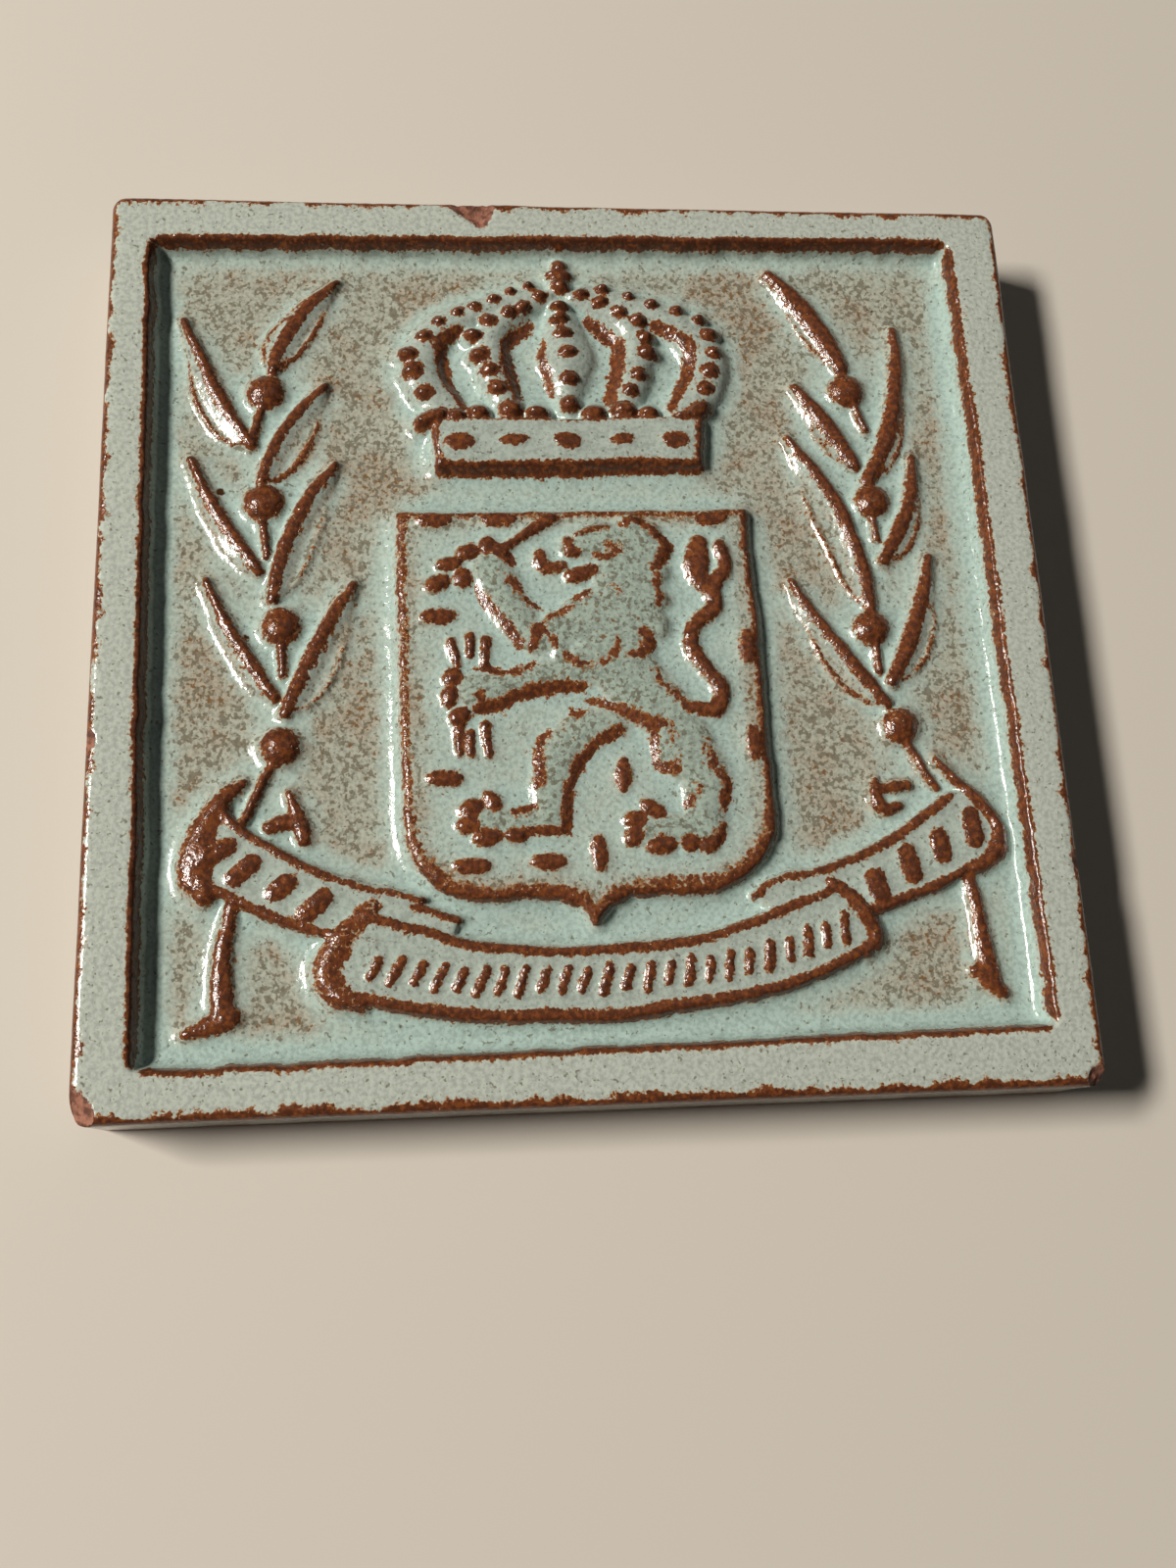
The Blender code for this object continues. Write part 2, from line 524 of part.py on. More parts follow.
def make_leaf(name, tip, base, crest_bow, edge_bow):
    crest = bowed(base, tip, crest_bow, 5)
    ridge(name + "_crest", crest, 0.8, LEAF_CREST_HEIGHT, FIELD_Z, (0.7, 1, 1, 0.5))
    middle = bowed(base, tip, (crest_bow + edge_bow) / 2, 5)
    half_width = abs(edge_bow - crest_bow) / 2 + 0.7
    ridge(name + "_blade", middle, half_width, LEAF_BLADE_HEIGHT, FIELD_Z, (0.55, 1, 0.9, 0.3))


def make_branches():
    for side, leaves, berries in (("left", LEFT_LEAVES, LEFT_BERRIES),
                                  ("right", RIGHT_LEAVES, RIGHT_BERRIES)):
        for index, (tip, base, crest_bow, edge_bow) in enumerate(leaves):
            make_leaf(f"{side}_leaf_{index + 1}", tip, base, crest_bow, edge_bow)
        for index, place in enumerate(berries):
            bead(f"{side}_berry_{index + 1}", place, (BERRY_RADIUS,) * 2, BERRY_HEIGHT, FIELD_Z)
    for name, line in STALKS.items():
        ridge(f"stalk_{name}", line, 0.7, STEM_HEIGHT, FIELD_Z, (0.9, 1, 0.9))
    for name, (points, half_width, taper) in STEMS.items():
        ridge(name, smooth(points, 2), half_width, STEM_HEIGHT, FIELD_Z, taper)


# Ribbons: the upper and the lower edge of each length, and its rounded ends
CENTRE_TOP = [(-24.8, -33.4), (-12.2, -37.1), (1.0, -37.9), (13.8, -36.7), (26.0, -32.4)]
CENTRE_FOOT = [(29.8, -40.0), (19.7, -43.7), (0.0, -45.8), (-16.3, -44.8), (-27.6, -42.6)]
CENTRE_LEFT_END = [(-30.1, -40.6), (-29.8, -38.8), (-27.2, -35.4)]
CENTRE_RIGHT_END = [(29.6, -35.2), (31.2, -38.2)]
LEFT_TOP = [(-40.2, -20.6), (-38.5, -22.9), (-30.1, -28.0), (-18.6, -31.9)]
LEFT_FOOT = [(-24.0, -37.0), (-34.1, -34.0), (-42.2, -30.0)]
LEFT_END = [(-44.6, -27.9), (-44.8, -25.4), (-42.9, -21.9)]
RIGHT_TOP = [(17.6, -32.8), (20.4, -31.0), (27.9, -29.3), (34.0, -26.7), (41.2, -22.2)]
RIGHT_FOOT = [(43.4, -30.7), (36.9, -33.7), (27.0, -36.6)]
RIGHT_END = [(44.0, -22.1), (46.2, -25.4), (46.7, -28.4)]
FOLDS = {
    "left_fold": ([(-25.4, -32.6), (-22.1, -32.4), (-16.4, -34.4)], 0.55),
    "right_fold": ([(27.0, -31.6), (23.0, -31.8), (17.6, -33.4)], 0.55),
}
# The rolled ends, a little thicker than the ribbon
CURLS = {
    "left_curl": ([(-38.1, -18.1), (-41.9, -22.4), (-43.3, -28.2), (-42.3, -30.4)], 1.3,
                  (0.2, 0.7, 1, 0.7)),
    "centre_left_curl": ([(-24.4, -32.6), (-28.7, -37.8), (-29.0, -40.6), (-25.6, -43.2)], 1.4,
                         (0.7, 1, 1, 0.5)),
    "centre_right_curl": ([(26.4, -31.6), (30.6, -36.4), (31.0, -38.3), (29.8, -40.0)], 0.95,
                          (0.6, 1, 1, 0.7)),
    "right_curl": ([(40.4, -18.0), (43.9, -22.2), (46.7, -27.4), (43.3, -31.0)], 0.9, (0.4, 0.8, 1.1, 0.6)),
}
CENTRE_MARKS = [(-24.2, -39.3), (-14.2, -41.0), (0.1, -41.6), (15.8, -40.5), (27.5, -37.2)]
CENTRE_MARK_COUNT = 26
CENTRE_MARK = (1.5, 0.45)
LEFT_MARKS = [(-40.7, -25.9), (-38.1, -28.1), (-34.1, -30.0), (-30.4, -32.0)]
RIGHT_MARKS = [(31.9, -32.5), (35.7, -30.0), (39.5, -28.1), (43.6, -26.1)]
SIDE_MARK = (1.3, 0.95)
MARK_LEAN = math.radians(18)
SHORT_MARK_SHARE = 0.75


def make_marks(name, places, half_sizes, sides, round_ends):
    """Leaning strokes in a row, every other one shorter."""
    for index, place in enumerate(places):
        before, after = places[max(index - 1, 0)], places[min(index + 1, len(places) - 1)]
        run = np.array(after) - np.array(before)
        turn = math.atan2(run[1], run[0]) + math.pi / 2 - MARK_LEAN
        half_length = half_sizes[0] * (1 if index % 2 else SHORT_MARK_SHARE)
        reach = np.array([math.cos(turn), math.sin(turn)]) * half_length
        ridge(f"{name}_mark_{index + 1}", [place - reach, place + reach], half_sizes[1],
              MARK_HEIGHT, FIELD_Z + RIBBON_HEIGHT, (1, 1), sides, round_ends=round_ends)


def make_ribbons():
    ribbon_z = FIELD_Z + RIBBON_HEIGHT
    lengths = {
        "centre": (CENTRE_TOP, CENTRE_RIGHT_END, CENTRE_FOOT, CENTRE_LEFT_END),
        "left": (LEFT_TOP, [], LEFT_FOOT, LEFT_END),
        "right": (RIGHT_TOP, RIGHT_END, RIGHT_FOOT, []),
    }
    for name, (top, right_end, foot, left_end) in lengths.items():
        drop = 0.0 if name == "centre" else 0.35
        top_line, foot_line = smooth(top, 2), smooth(foot, 2)
        outline = [*top_line, *right_end, *foot_line, *left_end]
        plate(f"{name}_ribbon", outline, RIBBON_HEIGHT - drop, FIELD_Z)
        edge_taper = (0.8, 1, 1, 0.8)
        ridge(f"{name}_ribbon_top", [np.array(p) - (0, 0.5) for p in top_line], 0.6,
              RIBBON_EDGE_HEIGHT, ribbon_z - drop, edge_taper, 4)
        ridge(f"{name}_ribbon_foot", [np.array(p) + (0, 0.5) for p in foot_line], 0.6,
              RIBBON_EDGE_HEIGHT, ribbon_z - drop, edge_taper, 4)
    for name, (points, half_width) in FOLDS.items():
        ridge(name, points, half_width, RIBBON_HEIGHT, FIELD_Z, (0.6, 1, 0.8))
    for name, (points, half_width, taper) in CURLS.items():
        ridge(name, smooth(points, 2), half_width, RIBBON_HEIGHT + CURL_RISE, FIELD_Z, taper)
    centre_places = evenly(smooth(CENTRE_MARKS, 4), CENTRE_MARK_COUNT)
    make_marks("centre", centre_places, CENTRE_MARK, 4, False)
    make_marks("left", LEFT_MARKS, SIDE_MARK, 6, True)
    make_marks("right", RIGHT_MARKS, SIDE_MARK, 6, True)


def add_glaze(shape):
    """Celadon glaze over stoneware."""
    glaze = bpy.data.materials.new("celadon_glaze")
    glaze.use_nodes = True
    surface = glaze.node_tree.nodes["Principled BSDF"]
    surface.inputs["Base Color"].default_value = (0.42, 0.5, 0.42, 1)
    surface.inputs["Roughness"].default_value = 0.25
    surface.inputs["Metallic"].default_value = 0.0
    shape.data.materials.append(glaze)


def add_boolean(shape, name, operation, collection):
    step = shape.modifiers.new(name, "BOOLEAN")
    step.operation = operation
    step.operand_type = "COLLECTION"
    step.collection = collection


for startup_object in list(bpy.context.scene.objects):
    bpy.data.objects.remove(startup_object)

tile_parts = new_collection("Relief wall tile")
cutters = new_collection("Cutters", hidden=True)
raised = new_collection("Raised relief", hidden=True)

tile = make_body()
make_field_cutter()
make_grooves()
make_chips()
make_shield()
make_lion()
make_crown()
make_branches()
make_ribbons()
add_boolean(tile, "Field, grooves and chips", "DIFFERENCE", cutters)
add_boolean(tile, "Relief", "UNION", raised)
add_glaze(tile)
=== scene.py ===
# Relief wall tile: a pressed stoneware square under one glossy celadon glaze
import math

import bpy
import numpy as np
from mathutils import Matrix, Vector


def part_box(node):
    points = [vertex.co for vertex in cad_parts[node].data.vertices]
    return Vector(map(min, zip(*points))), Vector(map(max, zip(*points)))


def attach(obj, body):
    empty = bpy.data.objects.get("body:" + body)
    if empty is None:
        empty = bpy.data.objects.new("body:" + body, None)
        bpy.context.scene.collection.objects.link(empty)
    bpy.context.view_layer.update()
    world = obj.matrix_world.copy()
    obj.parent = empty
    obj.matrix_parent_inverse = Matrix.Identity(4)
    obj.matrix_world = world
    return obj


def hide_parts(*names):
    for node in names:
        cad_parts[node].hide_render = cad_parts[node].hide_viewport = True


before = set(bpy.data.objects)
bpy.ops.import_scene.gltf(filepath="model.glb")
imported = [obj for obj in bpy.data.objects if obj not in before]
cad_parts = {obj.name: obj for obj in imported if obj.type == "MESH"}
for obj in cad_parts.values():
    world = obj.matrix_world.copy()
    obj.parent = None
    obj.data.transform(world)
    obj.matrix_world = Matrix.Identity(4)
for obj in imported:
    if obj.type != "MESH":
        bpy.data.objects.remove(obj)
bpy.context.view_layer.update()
tileLow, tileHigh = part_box("tile")
mm = 0.001  # every length below is in millimetres

tileBody = {
    "side": (tileHigh.x - tileLow.x) / mm,
    "thickness": (tileHigh.z - tileLow.z) / mm,
    "cornerRadius": 1.8,
    "arrisRadius": 1.0,
    "backArrisRadius": 0.6,
    "rimWidth": 5.5,
    "fieldDepth": 3.0,
    "fieldShift": (-0.2, 0.3),  # the sunk field sits this far off the slab's middle
    "designTurn": math.radians(0.8),
    "designAxisX": -0.35,
    "drawnField": 99.0,  # the design's places are given on a field of this side
    "glazeSag": 0.05,    # the glaze lies this much below the pressed rim
}
meshing = {
    "cells": 480,      # lattice cells along a side, about 0.2 mm each
    "arrisCells": 8,   # of which these turn over the outer arris
    "topCell": 8,      # largest face, in lattice cells
    "backCell": 16,
    "tolerance": 0.055,   # a face is split where the surface leaves it by more than this
    "backTolerance": 0.15,
    "tintTolerance": 0.9,
}
# One seed for each random field, so that every run gives the same tile
seeds = {
    "wanderX": 11, "wanderY": 21, "wallX": 31, "wallY": 32, "arris": 33, "chips": 41,
    "rustKnobs": 51, "unevenness": 52, "sideHollow": 61,
}
farAway = 99.0  # beyond every form

side = tileBody["side"]
halfSide = side / 2
topZ = tileBody["thickness"] - tileBody["glazeSag"]
fieldZ = tileBody["thickness"] - tileBody["fieldDepth"]
fieldSide = side - 2 * tileBody["rimWidth"]
drawnScale = fieldSide / tileBody["drawnField"]
cells = meshing["cells"]
turnCos, turnSin = math.cos(tileBody["designTurn"]), math.sin(tileBody["designTurn"])

# Lattice over the tile: evenly spaced on the flat, closing up round the outer arris
lattice = np.arange(cells + 1)
cellsIn = np.minimum(lattice, cells - lattice)
overArris = np.clip(1 - cellsIn / meshing["arrisCells"], 0, 1) * math.pi / 2
flatHalf = halfSide - tileBody["arrisRadius"]
cellSize = 2 * flatHalf / (cells - 2 * meshing["arrisCells"])
evenPlace = (lattice - cells / 2) * cellSize
place = np.clip(evenPlace, -flatHalf, flatHalf)
place = place + np.sign(lattice - cells / 2) * tileBody["arrisRadius"] * np.sin(overArris)


def roundCorners(x, y, half, radius):
    # Square rings near a corner become arcs of the corner's radius
    a, b = np.abs(x) - (half - radius), np.abs(y) - (half - radius)
    both = (a > 0) & (b > 0)
    pull = np.where(both, np.maximum(a, b) / np.maximum(np.hypot(a, b), 1e-9), 1)
    roundX = np.where(both, half - radius + a * pull, np.abs(x))
    roundY = np.where(both, half - radius + b * pull, np.abs(y))
    return np.sign(x) * roundX, np.sign(y) * roundY


gridX, gridY = np.meshgrid(place, place, indexing="ij")
gridX, gridY = roundCorners(gridX, gridY, halfSide, tileBody["cornerRadius"])
arrisTurn = np.maximum(overArris[:, None], overArris[None, :])
arrisDrop = tileBody["arrisRadius"] * (1 - np.cos(arrisTurn))


def blur(field, size, outside=None):
    # Gaussian blur of a lattice field; size in mm, outside is the value beyond the tile's edge
    pad = int(3 * size / cellSize) + 2
    if outside is None:
        wide = np.pad(field, pad, mode="edge")
    else:
        wide = np.pad(field, pad, constant_values=outside)
    for axis in (0, 1):
        waves = np.fft.rfftfreq(wide.shape[axis], cellSize)
        keep = np.exp(-2 * (math.pi * size * waves) ** 2)
        shape = [1, 1]
        shape[axis] = len(keep)
        wide = np.fft.irfft(
            np.fft.rfft(wide, axis=axis) * keep.reshape(shape), wide.shape[axis], axis=axis
        )
    return wide[pad:-pad, pad:-pad]


lumpPerBlur = 2.5  # blurred noise has lumps about this many times as wide as the blur


def softNoise(size, seed):
    # Smooth noise with a spread of one, and lumps about size mm across
    rough = np.random.default_rng(seed).normal(size=gridX.shape)
    soft = blur(rough, size / lumpPerBlur)
    return soft / soft.std()


# The design's own frame, with edges that wander a little as pressed and glazed ones do:
# how large the lumps are, and how far they carry an edge
wander = ((1.4, 0.05), (5.0, 0.09))
designX = (gridX * turnCos + gridY * turnSin) / drawnScale - tileBody["designAxisX"]
designY = (gridY * turnCos - gridX * turnSin) / drawnScale
for index, (size, reach) in enumerate(wander):
    designX = designX + reach * softNoise(size, seeds["wanderX"] + index)
    designY = designY + reach * softNoise(size, seeds["wanderY"] + index)


def nearby(points, reach):
    # The part of the lattice around some points of the design, with the design's coordinates there
    points = np.array(points, float).reshape(-1, 2)
    points[:, 0] += tileBody["designAxisX"]
    x = (points[:, 0] * turnCos - points[:, 1] * turnSin) * drawnScale
    y = (points[:, 0] * turnSin + points[:, 1] * turnCos) * drawnScale
    rows = slice(*np.searchsorted(place, (x.min() - reach, x.max() + reach)))
    columns = slice(*np.searchsorted(place, (y.min() - reach, y.max() + reach)))
    window = (rows, columns)
    return window, designX[window], designY[window]


def smoothMax(a, b, soft):
    meet = np.maximum(soft - np.abs(a - b), 0) / soft
    return np.maximum(a, b) + meet ** 2 * soft / 4


def smoothMin(a, b, soft):
    return -smoothMax(-a, -b, soft)


def smooth(points, steps=6):
    # Points on a smooth curve through the given ones
    points = np.array(points, float)
    row = np.vstack([2 * points[0] - points[1], points, 2 * points[-1] - points[-2]])
    t = np.linspace(0, 1, steps, endpoint=False)[:, None]
    spans = [
        0.5 * (2 * b + (c - a) * t + (2 * a - 5 * b + 4 * c - d) * t ** 2
               + (3 * b - a - 3 * c + d) * t ** 3)
        for a, b, c, d in zip(row, row[1:], row[2:], row[3:])
    ]
    return np.vstack([*spans, points[-1:]])


def bowed(start, end, bow, steps=14, bulge=1.0):
    # A shallow arc that stands off its chord by bow, to the left of its run; widest past the
    # middle towards the start where bulge is below 1
    start, end = np.array(start, float), np.array(end, float)
    run = end - start
    left = np.array([-run[1], run[0]]) / np.linalg.norm(run)
    t = np.linspace(0, 1, steps + 1)[:, None]
    return start + run * t + left * bow * 4 * t ** bulge * (1 - t ** bulge)


def evenly(points, count):
    points = np.array(points)
    along = np.r_[0, np.cumsum(np.linalg.norm(np.diff(points, axis=0), axis=1))]
    wanted = np.linspace(0, along[-1], count)
    return np.column_stack([np.interp(wanted, along, points[:, axis]) for axis in (0, 1)])


def mirrored(points, hand):
    return [(hand * x, y) for x, y in points]


def fromSegment(u, v, start, end):
    # Distance to the straight line between two points, and how far along it the nearest place lies
    run = end - start
    t = np.clip(((u - start[0]) * run[0] + (v - start[1]) * run[1]) / max(run @ run, 1e-9), 0, 1)
    return np.hypot(u - start[0] - t * run[0], v - start[1] - t * run[1]), t


def lineOutside(u, v, line, halfWidth, taper):
    # Distance beyond the edge of a tapering line, negative within it
    line = np.array(line, float)
    radii = halfWidth * np.interp(
        np.linspace(0, 1, len(line)), np.linspace(0, 1, len(taper)), taper)
    outside = np.full(u.shape, farAway)
    for start, end, r0, r1 in zip(line, line[1:], radii, radii[1:]):
        off, t = fromSegment(u, v, start, end)
        outside = np.minimum(outside, off - (r0 + (r1 - r0) * t))
    return outside


def spotOutside(u, v, spot, halfSizes, turn=0.0):
    # Distance beyond an ellipse, negative within it
    du, dv = u - spot[0], v - spot[1]
    along = du * math.cos(turn) + dv * math.sin(turn)
    across = dv * math.cos(turn) - du * math.sin(turn)
    reach = np.hypot(along / halfSizes[0], across / halfSizes[1]) + 1e-6
    slope = np.hypot(along / halfSizes[0] ** 2, across / halfSizes[1] ** 2) / reach + 1e-6
    return np.maximum((reach - 1) / slope, -min(halfSizes))


def shapeOutside(u, v, outline):
    # Distance beyond a closed outline, negative within it
    outline = np.array(outline, float)
    nearest = np.full(u.shape, farAway)
    inside = np.zeros(u.shape, bool)
    for start, end in zip(outline, np.roll(outline, -1, axis=0)):
        nearest = np.minimum(nearest, fromSegment(u, v, start, end)[0])
        if start[1] != end[1]:
            run = end - start
            crossing = (start[1] > v) != (end[1] > v)
            inside ^= crossing & (u < start[0] + (v - start[1]) * run[0] / run[1])
    return np.where(inside, -nearest, nearest)


def fade(distance, full, width):
    # 1 as far as the distance full, and falling to 0 over the width beyond it
    return np.clip(1 - (distance - full) / width, 0, 1)


# Layers that the forms are drawn on
onField = np.zeros(gridX.shape)   # rise of the forms that stand on the sunk ground
onForms = np.zeros(gridX.shape)   # rise of the forms that stand on those
rusty = np.zeros(gridX.shape)     # where the glaze broke to rust, beyond what the shape alone tells
clings = np.zeros(gridX.shape)    # where the glaze stays whole even over an arris
onShield = np.zeros(gridX.shape)  # 1 on the shield

# Section of every raised form: share of its height against the distance beyond its arris,
# which grows with the height; the glaze has filled the foot to a long soft fillet
formSection = {
    "outside": (-0.45, -0.2, 0.0, 0.15, 0.3, 0.45, 0.65, 0.95, 1.4, 2.1, 3.0, 4.0),
    "share": (1.0, 0.99, 0.95, 0.8, 0.58, 0.42, 0.31, 0.215, 0.105, 0.035, 0.0, -0.3),
    "reachLeast": 0.25,
    "reachPerHeight": 0.5,
    "window": 4.3,  # a form is worked out this many reaches beyond its arris
    "soft": 0.12,   # how softly forms run into each other
}
# Limbs run into each other more softly, under one rounded top; the window takes in the widest limb
limbSection = {"window": 4.3, "soft": 0.7, "dome": 0.5, "domeWidth": 2.5}
# Marks at a form's arris: full as far as the first distance beyond it, and fading over the second
markFades = {
    "uncovered": (0.3, 0.5),  # within its arris a form covers the marks of what it stands on
    "arris": (0.245, 0.7),    # to either side of the rust's middle line
    "rust": (-0.1, 0.5),
    "cling": (0.16, 0.8),
    "stroke": (-0.342, 0.9),
    "shield": (-0.5, 1.0),
}
arrisMiddle = -0.3  # rust along an arris runs a little within it
stroke = {"taper": (0.7, 1, 1, 0.7), "window": 1.5}  # worked out this far beyond its half width


def formReach(height):
    return formSection["reachLeast"] + formSection["reachPerHeight"] * height


def formWindow(height):
    return formSection["window"] * formReach(height)


def raiseForm(layer, window, outside, height, dome=0.0, domeWidth=1.0, soft=formSection["soft"],
              rust=0.0, arris=0.0, cling=0.0):
    # One form, flat or domed, and its marks: rust all over it or along its arris, or glaze that clings
    share = np.interp(outside / formReach(height), formSection["outside"], formSection["share"])
    inward = np.clip(-outside / domeWidth, 0, 1)
    rise = height * ((1 - dome) * np.maximum(share, 0) + dome * (1 - (1 - inward) ** 2))
    rise = rise - soft * np.clip(share / formSection["share"][-1], 0, 1)
    layer[window] = smoothMax(layer[window], rise, soft)
    uncovered = fade(-outside, *markFades["uncovered"])
    alongArris = arris * fade(np.abs(outside - arrisMiddle), *markFades["arris"])
    allOver = rust * fade(outside, *markFades["rust"])
    rusty[window] = np.maximum(rusty[window] * uncovered, np.maximum(alongArris, allOver))
    clings[window] = np.maximum(clings[window] * uncovered, cling * fade(outside, *markFades["cling"]))


def breakGlaze(line, halfWidth):
    # A stroke where the glaze has broken, over whatever shape is there
    window, u, v = nearby(line, halfWidth + stroke["window"])
    outside = lineOutside(u, v, smooth(line), halfWidth, stroke["taper"])
    rusty[window] = np.maximum(rusty[window], fade(outside, *markFades["stroke"]))


def ridge(layer, line, halfWidth, height, taper=(0.8, 1, 0.8), dome=0.25, **marks):
    window, u, v = nearby(line, halfWidth * max(taper) + formWindow(height))
    outside = lineOutside(u, v, line, halfWidth, taper)
    raiseForm(layer, window, outside, height, dome, halfWidth, **marks)


def bead(layer, spot, halfSizes, height, turn=0.0, dome=0.35, rust=0.9, **marks):
    window, u, v = nearby([spot], max(halfSizes) + formWindow(height))
    outside = spotOutside(u, v, spot, halfSizes, turn)
    raiseForm(layer, window, outside, height, dome, min(halfSizes), rust=rust, **marks)


def plate(layer, outline, height, **marks):
    window, u, v = nearby(outline, formWindow(height))
    raiseForm(layer, window, shapeOutside(u, v, outline), height, **marks)


def limbs(layer, parts, height, **marks):
    points = np.vstack([np.array(part[0], float) for part in parts])
    window, u, v = nearby(points, limbSection["window"] + formWindow(height))
    outside = np.full(u.shape, farAway)
    for line, halfWidth, taper in parts:
        limb = lineOutside(u, v, smooth(line), halfWidth, taper)
        outside = smoothMin(outside, limb, limbSection["soft"])
    raiseForm(layer, window, outside, height, limbSection["dome"], limbSection["domeWidth"], **marks)


print("lattice ready:", gridX.shape)

# Shield: a flat plate with an ogee foot, a fine raised edge and scattered billets
shield = {
    "height": 1.9,
    "halfWidth": 20.6,
    "top": 13.6,
    "foot": -32.2,
    "round": 8.5,
    "ogee": ((4.0, -0.2), (1.5, -1.1)),  # from the foot to the point: across, and below the foot
    "point": (0.0, -35.1),
    "arrisRust": 0.66,
    "window": 1,  # its mark is worked out this far beyond it
    "edge": {"inset": 0.6, "halfWidth": 0.42, "height": 0.12},
    "billetHalfSizes": (2.0, 0.8),
    "billetHeight": 0.55,
    "billets": (
        (-16.4, 12.6, 0), (-9.0, 12.6, 0), (16.2, 12.4, 0), (-16.3, 0.6, 0), (-16.1, -18.7, 0),
        (-13.4, -28.5, 0), (-5.1, -28.6, 0), (19.2, -3.8, 1), (19.0, -15.6, 1),
        (3.8, -18.8, 1), (0.7, -27.9, 1),
    ),
}
shieldZ = fieldZ + shield["height"]


def shieldOutline():
    angles = np.linspace(0, math.pi / 2, 10)
    right = [(shield["halfWidth"], shield["top"])]
    right += [
        (shield["halfWidth"] - shield["round"] * (1 - math.cos(a)),
         shield["foot"] + shield["round"] * (1 - math.sin(a)))
        for a in angles
    ]
    right += [(across, shield["foot"] + below) for across, below in shield["ogee"]]
    return right + [shield["point"]] + [(-x, y) for x, y in reversed(right)]


def makeShield():
    outline, edge = shieldOutline(), shield["edge"]
    plate(onField, outline, shield["height"], arris=shield["arrisRust"])
    window, u, v = nearby(outline, shield["window"])
    onShield[window] = fade(shapeOutside(u, v, outline), *markFades["shield"])
    inner = np.array(outline) * (1 - edge["inset"] / shield["halfWidth"])
    ridge(onForms, inner[1:-1], edge["halfWidth"], edge["height"], (1, 1), rust=shield["arrisRust"])
    for x, y, upright in shield["billets"]:
        turn = math.pi / 2 if upright else 0
        bead(onForms, (x, y), shield["billetHalfSizes"], shield["billetHeight"], turn, dome=0.2)


